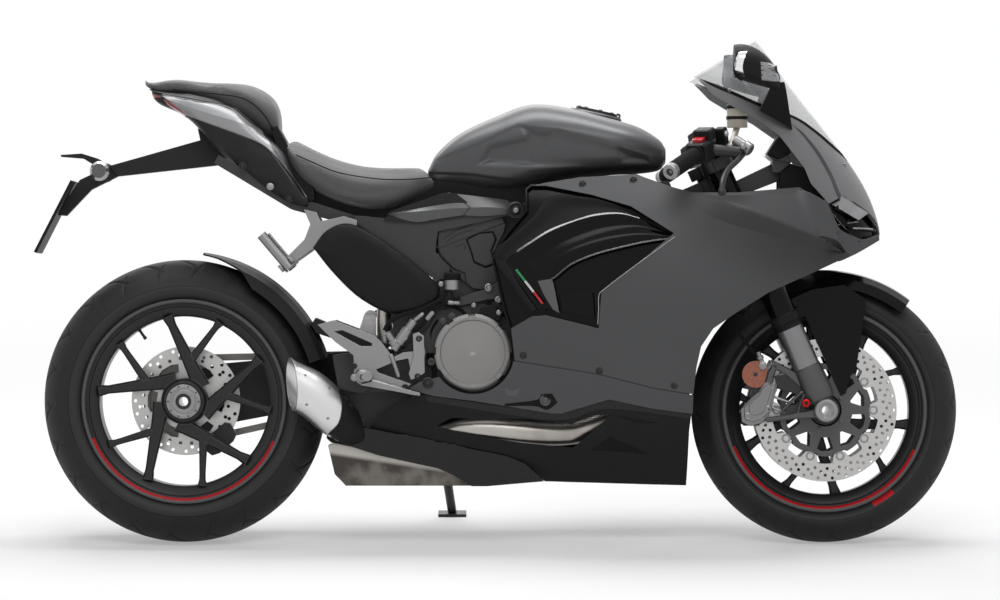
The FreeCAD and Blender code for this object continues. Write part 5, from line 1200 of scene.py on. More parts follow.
neck = lathe_part([(32, -6), (47, -6), (47, -9), (32, -9)], LID, LID_UP, 48)
LID_FORWARD = np.array([1, 0, -0.22]) / np.hypot(0.22, 1)
hinge = LID + LID_FORWARD * 50 + LID_UP * 4
EAR = [(2, 0), (6, 0), (6, 4.5), (2, 4.5)]
ears = [lathe_part(EAR, hinge + [0, y, 0], (0, 1, 0), 20) for y in (-19, 14.5)]
tank_parts = [grid_part(tank, wrap_v=True, caps=True), collar, neck] + ears
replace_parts(piece("pressed_tank", tank_parts, matt_paint, smooth=50), "fuel_tank")
LID_BOLT = [(4, -0.2), (4, 2.2), (2.2, 2.8), (2, 1), (0, 1)]
lid_bolts = []
for turn in range(7):
    t = 2 * math.pi * (turn + 0.5) / 7
    across = np.array([0, 1.0, 0]) * math.sin(t) + LID_FORWARD * math.cos(t)
    lid_bolts.append(knob_part(LID_BOLT, LID + across * 39 + LID_UP * 7, 16, LID_UP))
piece("fuel_lid_bolts", lid_bolts, bright_casting, "fuel_lid")

# %% [markdown]
# ## Covers that bulge
# The guard beside the shock is a pillow: its outline shrinks to its middle while its height follows
# (1 - s^6)^(1/3). The cover under the tank is folded along a ridge, and its upper half faces up. Both
# are too soft for a bevelled plate, which is how the flat covers are made.

# %% Guards and folded covers
def pillow_part(outline, y_base, height, power=6.0, rings=14, count=96):
    """A dome over a closed side-view outline: rings of it shrunk by s about its middle, raised by
    height * (1 - s^p)^(1/3) to the right."""
    loop = np.asarray(outline, float)
    closed = smooth_path(np.vstack([loop, loop[:1]]), count + 1)[:-1]
    middle = closed.mean(0)
    s = np.append(np.linspace(1, 0.9, 6), np.linspace(0.87, 0.02, rings))
    y = y_base - height * (1 - s**power) ** (1 / 3)
    flat_points = middle + (closed - middle)[None] * s[:, None, None]
    deep = np.broadcast_to(y[:, None], flat_points.shape[:2])
    return grid_part(np.stack([flat_points[..., 0], deep, flat_points[..., 1]], -1), wrap_v=True, caps=True)


GUARD = [
    (-428, 661), (-396, 700), (-344, 714), (-268, 675), (-160, 590), (-149, 550), (-190, 522),
    (-236, 513), (-272, 519), (-330, 553), (-385, 607)
]
guard_plug = knob_part(
    [(15, 0), (15, 2), (11, 3.5), (9, 1.5), (5, 1.5), (4, 4), (0, 4)], (-196, -136, 568), 28
)
piece("shock_guard_dome", [pillow_part(GUARD, -117, 24), guard_plug], grained_black, smooth=40)


def folded_cover(top, ridge, bottom, y_values=(-98, -119, -113), count=20):
    """A cover folded along a ridge between its top and bottom curves, closed 4 mm behind."""
    curves = [smooth_path(points, count) for points in (top, ridge, bottom)]
    order = [0, 1, 2, 2, 1, 0]
    y = [y_values[i] + (4 if n > 2 else 0) for n, i in enumerate(order)]
    rows = [
        np.column_stack([curves[i][:, 0], np.full(count, deep), curves[i][:, 1]])
        for i, deep in zip(order, y)
    ]
    return grid_part(np.stack(rows, 1), wrap_v=True, caps=True)


cover_rear = folded_cover(
    [(-259, 738), (-190, 764), (-130, 783), (-119, 782)],
    [(-261, 736), (-190, 742), (-120, 748), (-78, 750)],
    [(-256, 733), (-200, 718), (-150, 725), (-93, 733)]
)
cover_front = folded_cover(
    [(-115, 782), (-60, 776), (0, 768), (12, 762)], [(-74, 750), (-40, 751), (-10, 750), (8, 748)],
    [(-90, 733), (-50, 731), (-20, 733), (6, 735)]
)
pair("side_covers", [cover_rear, cover_front], cover_paint, smooth=20)

# %% [markdown]
# ## Fasteners
# Every panel bolt is the same turned head with a socket. Only the right side's places are listed: the
# skin's formula gives their depth, and a mirror image makes the left side's.

# %% Panel bolts
def bolt_part(x, y, z, radius=5.5):
    """A button head with a socket, facing out across the bike, in a shallow ring."""
    profile = [
        (radius * 1.5, -0.5), (radius * 1.5, 1.0), (radius * 1.25, 1.2), (radius * 1.2, 0.2),
        (radius, 0.4), (radius * 0.8, 2.6), (radius * 0.5, 3.0), (radius * 0.45, 1.0), (0, 1.0)
    ]
    return knob_part(profile, (x, y, z), 18)


SKIN_BOLTS = [(41, 421), (210, 387), (376, 355), (173, 801), (286, 810)]
heads = [bolt_part(x, -float(fairing_half(x, z)) - 0.2, z) for x, z in SKIN_BOLTS]
heads += [bolt_part(x, y, z, 6) for x, y, z in ((-523, -119, 797), (-585, -116, 843), (-480, -113, 772))]
pair("panel_bolts", heads, black_casting, smooth=30)
plug = knob_part([(8, -1), (8, 3), (6, 4), (0, 4)], (-523, -121, 797), 28)
pair("tail_plugs", [plug], bright_casting, smooth=30)
ring_profile = [(20, 0), (20, 9), (17, 12), (15, 12), (13, 7), (11, 7), (9, 11), (6, 12), (4, 9), (0, 9)]
big_bolt = [knob_part(ring_profile, (25, -112, 744), 40)]
pair("frame_ring_bolts", big_bolt, black_casting, smooth=30)
dot = [knob_part([(5.5, 8), (5.5, 13.5), (3, 14), (2.6, 11), (0, 11)], (25, -112, 744))]
pair("frame_bolt_heads", dot, bright_casting, smooth=30)

# %% [markdown]
# ## The engine's right side
# The engine is one plain block in the solid model. What makes it look like an engine are the layers on
# it: the head cover with its seam and ribs, a rubber-edged small cover, the rear brake's reservoir and
# hoses, a bracket, and the notched rim of the clutch cover. They are plates with rounded edges, turned
# parts and tubes, each laid on the skin that the ray finds.

# %% Covers on the engine
HEAD = [
    (-149, 697), (-119, 711), (-85, 718), (-6, 730), (3, 711), (-1, 695), (-16, 666), (-25, 642),
    (-16, 621), (-4, 600), (-26, 576), (-49, 566), (-71, 569), (-88, 587), (-90, 604), (-116, 614),
    (-143, 642), (-149, 659)
]
SMALL = np.array([
    (-84, 678), (-58, 692), (-27, 695), (-20, 678), (-30, 654), (-23, 626), (-44, 619), (-68, 630),
    (-75, 654)
])
ENGINE_SKIN = "engine_block engine_covers"
head_y = skin_y(ENGINE_SKIN, -110, 660) or -104
wide_small = SMALL.mean(0) + (SMALL - SMALL.mean(0)) * 1.09
plate_piece("head_cover", HEAD, head_y - 4, head_y + 3, dark_casting, 2)
plate_piece("small_cover_edge", wide_small, head_y - 6, head_y, grip_rubber, 1.5)
plate_piece("small_cover", SMALL, head_y - 11, head_y, dark_casting, 2.5)
ribs = []
for points in (
    [(-146, 660), (-75, 688), (0, 717)],
    [(-138, 680), (-110, 699), (-72, 712)],
    [(-130, 675), (-104, 691), (-70, 702)],
    [(-112, 662), (-92, 669), (-88, 658)],
):
    ribs.append(tube_part([(x, head_y - 4.2, z) for x, z in points], 1.5, 6, 16))
piece("head_cover_ribs", ribs, dark_casting)

BRACKET = [
    (-104, 550), (-70, 560), (-44, 568), (-20, 582), (-1, 594), (3, 570), (2, 547), (-41, 544),
    (-103, 530)
]
SENSOR = [(-57, 528), (-25, 534), (-4, 516), (-10, 496), (-52, 505)]
bracket_y = min(skin_y(ENGINE_SKIN + " clutch_cover", -60, 550) or -100, -104) - 8
plate_piece("breather_bracket", BRACKET, bracket_y - 3, bracket_y + 4, dark_casting, 1.5)
plate_piece("sensor_box", SENSOR, -131, -112, satin_black, 2)
PIVOT = [
    (-254, 518), (-209, 525), (-144, 587), (-118, 560), (-105, 521), (-150, 470), (-170, 428),
    (-175, 380), (-211, 380), (-223, 428), (-245, 432), (-264, 466), (-250, 483)
]
raised = np.array(PIVOT) * 0.82 + [-38, 84]
pivot_parts = [plate_part(PIVOT, -84, -50), plate_part(raised, -90, -80)]
piece("pivot_casting", pivot_parts, dark_casting, smooth=25, bevel=3)
TRAY = [
    (-470, 780), (-420, 750), (-330, 730), (-255, 716), (-90, 735), (30, 735), (70, 760), (75, 812),
    (-60, 805), (-150, 812), (-200, 803), (-270, 782), (-340, 788), (-420, 815)
]
plate_piece("seat_base_tray", TRAY, -66, 66, satin_black)

# %% [markdown]
# ## The clutch cover's rim
# The round cover has a raised rim with seven notches for its screws. A boolean cut would leave ragged
# edges, so the rim is six circles whose radius drops at each notch. Ears, gussets and the linkage plate
# round it are plain turned parts and plates.

# %% Clutch rim with its notches
t = one_turn(360)
notch = np.zeros(360)
for degrees in (92, 127, 178, 213, 318, 355, 42):
    away = np.degrees(np.abs((t - math.radians(degrees) + np.pi) % (2 * np.pi) - np.pi))
    notch = np.maximum(notch, np.clip((5.5 - away) / 1.2, 0, 1))
low_ring = [(86.5, 12), (86.5, 3), (84, 0.6), (80, -0.6), (75.5, -0.6), (74, 1.5)]
rim_rows = []
for radius, height in low_ring:
    r = radius - notch * (4.5 if radius > 80 else 0)
    y = np.full(360, face_y + height) + notch * 2.5
    rim_rows.append(np.stack([CLUTCH[0] + r * np.cos(t), y, CLUTCH[2] + r * np.sin(t)], -1))
piece("clutch_rim", [grid_part(np.array(rim_rows), wrap_v=True)], cover_casting, smooth=30, outward=False)
ear = knob_part([(9, 8), (9, 1), (7, -1), (4, -1), (4, 3), (0, 3)], (-164, face_y, 406), 24, (0, 1, 0))
EAR_END = [(8, 8), (8, 2), (4, 0), (0, 0)]
ears = [ear] + [knob_part(EAR_END, (x, face_y + 2, z), 20, (0, 1, 0))
                for x, z in ((-138, 497), (-118, 508), (22, 490))]
piece("clutch_ears", ears, dark_casting, smooth=30)
GUSSET = [(-14, 742), (30, 742), (44, 702), (12, 676), (-6, 700)]
LINKAGE = [(-368, 348), (-196, 348), (-220, 300), (-300, 256), (-345, 258), (-358, 300)]
gussets = [plate_part(GUSSET, -70, 70), plate_part(LINKAGE, -62, -30)]
piece("frame_gussets", gussets, dark_casting, smooth=25, bevel=3)

# %% [markdown]
# ## The rear brake's lines
# A small cup feeds the rear brake through a hose, and four more lines run beside it. Each is a tube along
# a path through chosen points, and each fitting is a turned body between two points.

# %% Rear brake hydraulics
cup = knob_part([(15, 0), (17, 2), (17, 22), (15, 24)], (-117, -128, 566), 32, (0, 0, 1))
cap = knob_part([(18, 0), (19, 2), (19, 12), (16.5, 16), (5, 16.5)], (-117, -128, 589), 32, (0, 0, 1))
piece("rear_fluid_cup", [cup], bright_casting, smooth=30)
piece("rear_fluid_cap", [cap], grip_rubber, smooth=30)
HOSES = [
    (5.0, [(-129, -128, 566), (-140, -130, 548), (-157, -132, 538), (-195, -134, 521),
           (-230, -136, 511), (-257, -138, 494), (-268, -138, 476)]),
    (4.2, [(-100, -124, 548), (-126, -128, 539), (-154, -130, 528), (-174, -130, 514),
           (-179, -130, 494), (-195, -132, 480), (-216, -134, 476)]),
    (3.2, [(-164, -96, 560), (-150, -100, 540), (-120, -106, 530), (-95, -108, 520), (-85, -108, 505)]),
    (4.5, [(-40, -108, 540), (-20, -114, 522), (12, -112, 500), (30, -108, 470)]),
    (3.0, [(-150, -104, 500), (-165, -100, 470), (-160, -98, 430), (-170, -96, 395)]),
]
piece("brake_and_breather_lines", [tube_part(path, radius, 10, 36) for radius, path in HOSES], grip_rubber)


def barrel(start, end, steps, count=24):
    """A turned body between two points: each step is (share of the way, radius)."""
    start, end = np.array(start, float), np.array(end, float)
    length = np.linalg.norm(end - start)
    return knob_part([(radius, share * length) for share, radius in steps], start, count, end - start)


BODY = [(0, 7), (0.02, 9), (0.22, 9), (0.24, 12), (0.7, 12), (0.72, 9), (0.98, 9), (1, 7)]
fittings = [
    barrel((-248, -134, 432), (-202, -134, 498), BODY),
    barrel(
        (-262, -136, 472), (-240, -132, 438),
        [(0, 5), (0.05, 8), (0.5, 8), (0.55, 11), (0.95, 11), (1, 8)]
    ),
    barrel((-202, -134, 498), (-181, -134, 515), [(0, 4), (0.1, 5), (0.9, 5), (1, 4)]),
    barrel(
        (-127, -128, 539), (-101, -124, 537), [(0, 4.6), (0.1, 6), (0.45, 6), (0.5, 5), (0.9, 5), (1, 4)]
    ),
    barrel((-175, -130, 500), (-159, -130, 518), [(0, 5), (0.1, 6.5), (0.9, 6.5), (1, 5)]),
    knob_part([(9, 0), (9, 12), (5, 14), (0, 14)], (-225, -130, 462)),
    knob_part([(6, 0), (6, 10), (3, 12), (0, 12)], (-142, -122, 580)),
    knob_part([(8, 0), (8, 7), (4.5, 9), (3, 6), (0, 6)], (-14, bracket_y - 2, 545)),
    knob_part([(6, 0), (6, 6), (3.5, 8), (0, 8)], (-69, bracket_y - 2, 532)),
    knob_part([(6, 0), (6, 8), (3.5, 10), (0, 10)], (-13, -131, 516)),
    knob_part([(9, 0), (9, 10), (6, 12), (4, 8), (0, 8)], (-36, bracket_y - 2, 572)),
]
piece("brake_fittings", fittings, bright_casting, smooth=30)

# %% [markdown]
# ## Footrest hangers
# The hanger's plate is the solid's. On it go a pivot with its rings, a clamp block, two rods and the heads
# of the screws, so that it stops looking cut from sheet. The shock's adjuster and the lower panel's plug
# are turned in the same way.

# %% Hanger hardware
hanger_y = skin_y("footrests", -315, 410) or -150
pivot_rings = [(20, 4), (20, -4), (17, -8), (17, -12), (12, -14), (12, -18), (7, -19), (5, -15), (0, -15)]
block = [
    (-205, 468), (-192, 472), (-180, 464), (-178, 382), (-192, 372), (-209, 366), (-214, 380), (-203, 420)
]
pieces_of_hanger = [
    knob_part(pivot_rings, (-316, hanger_y, 372), 36, (0, 1, 0)),
    knob_part([(9, 2), (9, -7), (6, -9), (0, -9)], (-335, hanger_y, 371), 24, (0, 1, 0)),
    plate_part(block, hanger_y - 8, hanger_y + 4),
    barrel(
        (-298, hanger_y - 10, 362), (-195, hanger_y - 12, 334),
        [(0, 7), (0.1, 8), (0.8, 5.5), (0.93, 4.5), (1, 3)]
    ),
    barrel((-254, hanger_y - 3, 424), (-236, hanger_y - 3, 372), [(0, 4), (0.1, 5), (0.9, 5), (1, 4)]),
]
pair("hanger_fittings", pieces_of_hanger, bright_casting, smooth=30, bevel=1)
SCREW = [(7, 2), (7, -9), (5, -11), (3.5, -8), (0, -8)]
screws = [knob_part(SCREW, (x, hanger_y, z), 20, (0, 1, 0))
          for x, z in ((-191, 458), (-194, 374), (-222, 350), (-336, 397))]
pair("hanger_screws", screws, black_casting, smooth=30)
GOLD = [
    (0, 3), (0.03, 9), (0.12, 7.5), (0.15, 9), (0.25, 7), (0.28, 8.4), (0.4, 6), (0.43, 7.2), (0.55, 5),
    (0.58, 6), (0.72, 3.6), (0.75, 4.6), (1, 1)
]
piece("shock_adjuster", [barrel((-324, -108, 695), (-266, -112, 668), GOLD)], gold_metal, smooth=30)
low_skin = skin_y("lower_panels belly_panels side_guards", -171, 359) or -112
plug = knob_part(
    [(13, 3), (13, -2), (10, -4), (8.5, -1), (6, -1), (4.5, -5), (0, -5)], (-171, low_skin, 359), 28,
    (0, 1, 0)
)
pair("lower_plug", [plug], black_casting, smooth=30)


# %% [markdown]
# ## Low down on the right
# The can's front end sinks into a dark link cover, so a thin sheet is laid over it: each point of a grid
# between two side-view curves goes out along a ray to the skin, and the wall lies behind it. The same
# sheet makes the pale shoulder of the belly panel, its two pressed wedges and the pocket by the clutch.

# %% Sheets laid on the skin
def laid_sheet(first, last, names, lift, missing, wall=2.5, count=24, rows=7):
    """A closed sheet between two side-view curves, standing off the first skin its rays meet."""
    a, b = smooth_path(first, count), smooth_path(last, count)
    v = np.linspace(0, 1, rows)[None, :, None]
    flat_points = a[:, None] * (1 - v) + b[:, None] * v
    found = [skin_y(names, x, z) or missing for x, z in flat_points.reshape(-1, 2)]
    y = np.array(found).reshape(count, rows)
    front = np.stack([flat_points[..., 0], y - lift, flat_points[..., 1]], -1)
    return grid_part(np.concatenate([front, front[:, ::-1] + [0, wall, 0]], 1), wrap_v=True, caps=True)


CAN_EDGE = [(-372, 349), (-361, 312), (-369, 270), (-397, 241), (-388, 226)]
CAN_END = [(-352, 337), (-329, 300), (-314, 262), (-309, 236), (-330, 214)]
piece("can_link_cover", [laid_sheet(CAN_EDGE, CAN_END, "silencer", 2.5, -112)], grained_black, smooth=50)
RIVET = [(3.2, 1), (3.2, -0.8), (2, -1.8), (0, -1.8)]
rivets = [knob_part(RIVET, (x, skin_y("silencer", x, z), z), 16, (0, 1, 0))
          for x, z in ((-443, 377), (-440, 312), (-391, 348), (-393, 281))]
piece("can_rivets", rivets, fork_metal, smooth=30)
# A black plate behind the belly's openings is painted shade, so that they show dark inside.
BACKING = [
    (-330, 262), (-250, 325), (-100, 325), (225, 296), (250, 205), (60, 178), (-90, 178), (-180, 205),
    (-320, 240)
]
plate_piece("belly_shade_backing", BACKING, -32, -24, satin_black, 0)
BELLY = "belly_panels"
shoulder = laid_sheet(
    [(-174, 331), (108, 297), (232, 324), (412, 291)], [(-174, 318), (108, 277), (226, 302), (412, 281)],
    BELLY, 0.8, -118
)
pair("belly_shoulders", [shoulder], soft_black)
wedges = [laid_sheet([(194, 210), (317, 200)], [(234, 239), (318, 201)], BELLY, 0.8, -130, 2, 16, 5),
          laid_sheet([(250, 286), (338, 271)], [(286, 271), (338, 270)], BELLY, 0.8, -138, 2, 16, 5)]
pair("belly_wedges", wedges, gloss_paint)
LOW_PANEL = "lower_panels"
pocket = laid_sheet(
    [(-1, 313), (70, 322), (82, 334), (105, 336)], [(0, 308), (66, 308), (94, 300), (117, 316)],
    LOW_PANEL, 0.6, -140, 2
)
pair("low_pockets", [pocket], gloss_paint)
clip = laid_sheet(
    [(0, 351), (12, 344), (22, 344), (33, 351)], [(4, 334), (12, 330), (22, 330), (31, 336)], LOW_PANEL,
    1.2, -140, 2, 16, 5
)
pocket_bolt = bolt_part(90, (skin_y(LOW_PANEL, 90, 322) or -140) - 1, 321, 8)
pair("low_clips", [clip, pocket_bolt], disc_carrier, smooth=30)

# %% [markdown]
# ## The rear nut
# One large nut holds the rear wheel. Its face is a turned ring with a groove, round a dark core, with ten
# small studs. All of it turns with the wheel, and so does the valve, so they ride on the wheel's body.

# %% Rear hub and valve
AXLE_FACE = (REAR_AXLE[0], -96, REAR_AXLE[2])
nut = lathe_part(
    [(17, 0), (38, 0), (38, 1.5), (31, 2.4), (29.5, 0.8), (27, 0.8), (25.5, 2.4), (18, 2.4)], AXLE_FACE,
    (0, -1, 0), 64
)
piece("rear_nut_rings", [nut], bright_casting, "rear_wheel", smooth=30)
dark = [lathe_part([(10.3, -3), (16.9, -3), (16.9, 1), (10.3, 1)], AXLE_FACE, (0, -1, 0), 48)]
for turn in range(10):
    t = 2 * math.pi * turn / 10
    spot = (AXLE_FACE[0] + 34.5 * math.cos(t), -96, AXLE_FACE[2] + 34.5 * math.sin(t))
    dark.append(knob_part([(1.9, 1), (1.9, 2.6), (0, 2.6)], spot, 12))
piece("rear_nut_slots", dark, black_casting, "rear_wheel", smooth=30)
stem = barrel(
    (-826, -20, 484), (-806, -20, 456), [(0, 5), (0.3, 5), (0.35, 3.2), (0.8, 3.2), (0.82, 4.2), (1, 3.6)]
)
piece("rear_valve", [stem], black_casting, "rear_wheel", smooth=30)

# %% [markdown]
# ## The nose
# The nose shell is the solid's. Over it go the ridge that catches the light down to the lamp, the ribbed
# brow over the lamp opening, the light strips inside it, the mirrors' lenses and glass, and the screen's
# edge band. Each follows the skin at a few measured points and runs smoothly between them.

# %% Ribbons along the skin
def on_skin(names, points, lift=0.0):
    """Side-view points carried out to the skin, and lifted off it."""
    found = [(x, skin_y(names, x, z), z) for x, z in points]
    known = [y for _, y, _ in found if y is not None]
    return [(x, (known[-1] if y is None else y) - lift, z) for x, y, z in found]


def ribbon_part(path, width, height, count=40):
    """A low rounded ribbon along a path on the right side: its section is height * (1 - s^2) over the
    path's side-view normal, with s from -1 to 1 over the width. Its edges and its back are sunk."""
    p = smooth_path(path, count)
    along = np.gradient(p[:, [0, 2]], axis=0)
    along /= np.linalg.norm(along, axis=1)[:, None]
    side = np.column_stack([-along[:, 1], np.zeros(count), along[:, 0]]) * (width / 2)
    s = np.array([-1, -0.7, -0.3, 0, 0.3, 0.7, 1, 0])
    out = np.array([-1, 0.5, 0.9, 1, 0.9, 0.5, -1, -1.5]) * height
    taper = np.minimum(1, np.minimum(np.arange(count), np.arange(count)[::-1]) / 4 + 0.15)[:, None, None]
    grid = p[:, None] + side[:, None] * s[:, None] * taper
    grid[..., 1] -= out * taper[..., 0]
    return grid_part(grid, wrap_v=True, caps=True)


def quad_sheet(corners, waves, height, wall=3.0, count=60, rows=8):
    """A sheet between four corners, with ribs height * sin(2 pi waves v) raised along it."""
    a, b, c, d = (np.array(corner, float) for corner in corners)
    u = np.linspace(0, 1, count)[:, None, None]
    v = np.append(np.linspace(0, 1, rows), np.linspace(1, 0, rows))[None, :, None]
    grid = (a * (1 - u) + b * u) * (1 - v) + (d * (1 - u) + c * u) * v
    lift = np.where(np.arange(2 * rows) < rows, height * np.sin(2 * np.pi * waves * v[0, :, 0]), -wall)
    grid[..., 1] -= lift
    return grid_part(grid, wrap_v=True, caps=True)


NOSE = "nose_cowl windscreen"
ridge = on_skin(NOSE, [(640, 935), (690, 880), (722, 828), (738, 790), (748, 770)], 0)
brow_line = on_skin(NOSE, [(752, 776), (782, 760), (812, 738), (830, 716)], 0)
pair("nose_ridges", [ribbon_part(ridge, 13, 1.6), ribbon_part(brow_line, 6, 1.5)], panel_paint)
SCREEN_LINE = [
    (434, 1036), (500, 1007), (561, 980), (610, 962), (655, 945), (700, 915), (740, 882), (770, 856)
]
band = on_skin(NOSE, SCREEN_LINE, 0.3)
pair("screen_edge_bands", [ribbon_part(band, 9, 1.6)], gloss_paint)
screws = [knob_part([(4.5, -1), (4.5, 1.6), (3, 2.4), (1.8, 1), (0, 1)], spot)
          for spot in on_skin(NOSE, [(762, 846), (622, 958), (500, 1010)])]
pair("screen_screws", screws, bright_casting, smooth=30)

# %% [markdown]
# ## Lamps
# Each lamp is a dark opening under a ribbed brow, with two light strips inside. The brow is a sheet
# between four corners that are found on the skin, and its ribs are a sine wave.

# %% Lamps in the nose
brow = on_skin("nose_cowl", [(727, 759), (752, 776), (806, 745), (760, 766)], 1.5)
brow = [brow[0], brow[1], (812, brow[2][1] + 2, 738), (790, (brow[0][1] + brow[2][1]) / 2, 722)]
print("brow corners", [round(float(corner[1]), 1) for corner in brow])
# The brow is in the tail band's pale grey, a painted highlight.
pair("lamp_brows", [quad_sheet(brow, 5, 0.8, 4)], pale_highlight_paint, smooth=60)
strip_points = on_skin("headlights", [(778, 704), (800, 704), (824, 703)], 2)
low_strip = on_skin("headlights", [(745, 712), (770, 716), (790, 719)], 2)
strips = [tube_part(strip_points, 2.2, 8, 12), tube_part(low_strip, 1.6, 8, 12)]
pair("lamp_strips", strips, lamp_glass)
LIP_TOP = [(735, 722), (748, 703), (770, 692), (800, 680), (838, 690)]
LIP_LOW = [(716, 640), (742, 630), (772, 641), (800, 655), (840, 678)]
pair("nose_lips", [skin_sheet(LIP_TOP, LIP_LOW, [(0, 3), (0.15, 0), (1, 2)], 3)], panel_paint)

# %% [markdown]
# ## Mirrors
# The mirror's housing has a clear lamp in front and the glass behind. Both are sheets laid on the housing
# by rays, so that they follow its bulge, and a thin tube round the glass is its rim.

# %% Mirrors
MIRROR = "mirrors"
mirror_middle = skin_y(MIRROR, 570, 1045)
lens_sheet = laid_sheet(
    [(560, 1066), (579, 1064), (596, 1058)], [(563, 1026), (586, 1024), (604, 1024)], MIRROR, 0.8,
    mirror_middle
)
pair("mirror_lamps", [lens_sheet], lamp_glass, smooth=60)
glass_sheet = laid_sheet(
    [(513, 1087), (505, 1070), (504, 1052), (509, 1038)],
    [(531, 1090), (523, 1068), (521, 1050), (527, 1034)], MIRROR, 0.6, mirror_middle
)
pair("mirror_glass", [glass_sheet], mirror_silver, smooth=60)
lamp_lines = [tube_part(on_skin(MIRROR, points, 1.2), 1.0, 6, 10) for points in
              ([(560, 1057), (582, 1058)], [(562, 1047), (588, 1047)], [(562, 1037), (593, 1036)])]
pair("mirror_lamp_lines", lamp_lines, satin_black)
near_y = skin_y(MIRROR, 560, 1050)
loop = [(534, 1094), (523, 1097), (512, 1087), (505, 1070), (503, 1052), (507, 1037), (520, 1026)]
glass_rim = [(x, near_y + 12 + abs(z - 1062) * 0.5, z) for x, z in loop]
pair("mirror_rims", [tube_part(glass_rim, 2.4, 8, 40)], satin_black)

# %% [markdown]
# ## The cockpit
# Around the bars are the switch block with its red button, the brake lever's master cylinder, a ribbed
# grip and a bright bar end. All of them ride with the steering.

# %% Bars and switches
INNER = FRONT_AXLE + [0, -LEG_OUT, 0] + AXIS_UP * 651 + [17.4, -23, 5.8]
ALONG = np.array([-107.0, -202, -73])
ALONG /= np.linalg.norm(ALONG)
bar = [INNER + ALONG * reach for reach in (0, 60, 100, 226, 240)]
grip_skin = skin_y("grips", 400, 848)
print("bar passes", np.round(bar[2]), "and the grip's skin is at", round(grip_skin))
GRIP = [(0, 21), (2, 22), (5, 22), (6, 18)]
ribs = [
    (9 + 7 * n + step, radius)
    for n in range(15) for step, radius in ((0, 17.3), (1.5, 18.6), (4.5, 18.6), (6, 17.3))
]
profile = [(radius, height) for height, radius in GRIP + ribs]
grip_start = INNER + ALONG * 106
sleeve = lathe_part([(15.5, 0)] + profile + [(15.5, 118)], grip_start, ALONG, 36)
pair("ribbed_grips", [sleeve], grip_rubber, "steering", smooth=30)
weight = [(12, 0), (16, 0.5), (18, 2), (18, 15), (15.5, 17.5), (9, 17.5), (7, 13), (0, 13)]
bar_end = knob_part(weight, INNER + ALONG * 225, 36, ALONG)
pair("bar_ends", [bar_end], bright_casting, "steering", smooth=30)


def block_part(centre, half, taper=0.85):
    """A box along the bar with its outer end a little smaller. The half sizes run along the bar, ahead
    of it and above it."""
    ahead = np.cross(ALONG, [0, 0, 1.0])
    ahead /= -np.linalg.norm(ahead)
    above = np.cross(ALONG, ahead)
    above *= np.sign(above[2])
    rows = []
    for reach, share in ((-1, 0.8), (-0.85, 1), (0.7, 1), (1, taper)):
        ring = [(-1, -0.8), (-0.8, -1), (0.8, -1), (1, -0.8), (1, 0.8), (0.8, 1), (-0.8, 1), (-1, 0.8)]
        middle = centre + ALONG * half[0] * reach
        rows.append([middle + (ahead * half[1] * a + above * half[2] * b) * share for a, b in ring])
    return grid_part(np.array(rows), wrap_v=True, caps=True)


switches = [
    block_part(INNER + ALONG * 82, (22, 26, 24)),
    block_part(INNER + ALONG * 70 + [4, 0, 34], (15, 22, 14)),
    block_part(INNER + ALONG * 40 + [30, 0, 22], (10, 12, 20)),
]
pair("switch_blocks", switches, satin_black, "steering", smooth=25)
button = block_part(INNER + ALONG * 84 + [-2, -6, 27], (13, 12, 4))
piece("stop_button", [button], stripe_paint["red"], "steering", smooth=25)
master = barrel(
    INNER + [40, -44, 2], INNER + [76, -62, -22],
    [(0, 8), (0.05, 12), (0.6, 12), (0.64, 15), (0.95, 15), (1, 12)]
)
clamp_bolts = [barrel(INNER + [22, -50, 18], INNER + [22, -64, 12], [(0, 5), (0.8, 5), (1, 3)]),
               barrel(INNER + [58, -70, -10], INNER + [58, -84, -16], [(0, 7), (0.8, 7), (1, 4)])]
pair("brake_master", [master] + clamp_bolts, bright_casting, "steering", smooth=30)
tip = knob_part(
    [(0, -9), (6, -8), (8.8, -3), (8.8, 3), (6, 8), (0, 9)], INNER + [7, -207, -116], 20, (0, 0, 1)
)
pair("lever_tips", [tip], black_casting, "steering", smooth=60)
cup_centre = INNER + [48, 0, 52]
cap_parts = [knob_part([(23.5, 20), (25, 22), (25, 27), (22, 30), (6, 30.5)], cup_centre, 32, (0, 0, 1)),
             lathe_part([(23.6, -4), (24.6, -3), (24.6, 3), (23.6, 4)], cup_centre, (0, 0, 1), 32)]
piece("front_cup_cap", cap_parts, satin_black, "steering", smooth=30)

# %% [markdown]
# ## Behind the screen
# The dash is a thin box with a glass face, and a duct runs on each side of it. Only their outlines show,
# so plates with rounded edges are enough.

# %% Dash
DASH = [(586, 870), (612, 911), (628, 906), (640, 872), (612, 858)]
DASH_FACE = [(582, 869), (608, 911), (611, 910), (585, 867)]
plate_piece("dash_box", DASH, -92, 92, satin_black)
plate_piece("dash_glass", DASH_FACE, -86, 86, lamp_glass, 0)
DUCT = [(614, 828), (640, 850), (672, 842), (700, 800), (722, 765), (722, 742), (614, 742)]
pair("inner_duct_boxes", [plate_part(DUCT, -74, -52)], satin_black, smooth=25, bevel=4)

# %% [markdown]
# ## Forks and brakes
# The lower leg is pale metal under a dark dust seal, and its foot spreads in webs to the brake caliper. The
# caliper is a smooth casting in two halves, with bolts, pad pins and an amber reflector in front of it.

# %% Fork legs
def right_leg(reach):
    """A point of the right fork leg, measured up it from the axle."""
    return FRONT_AXLE + AXIS_UP * reach - [0, LEG_OUT, 0]


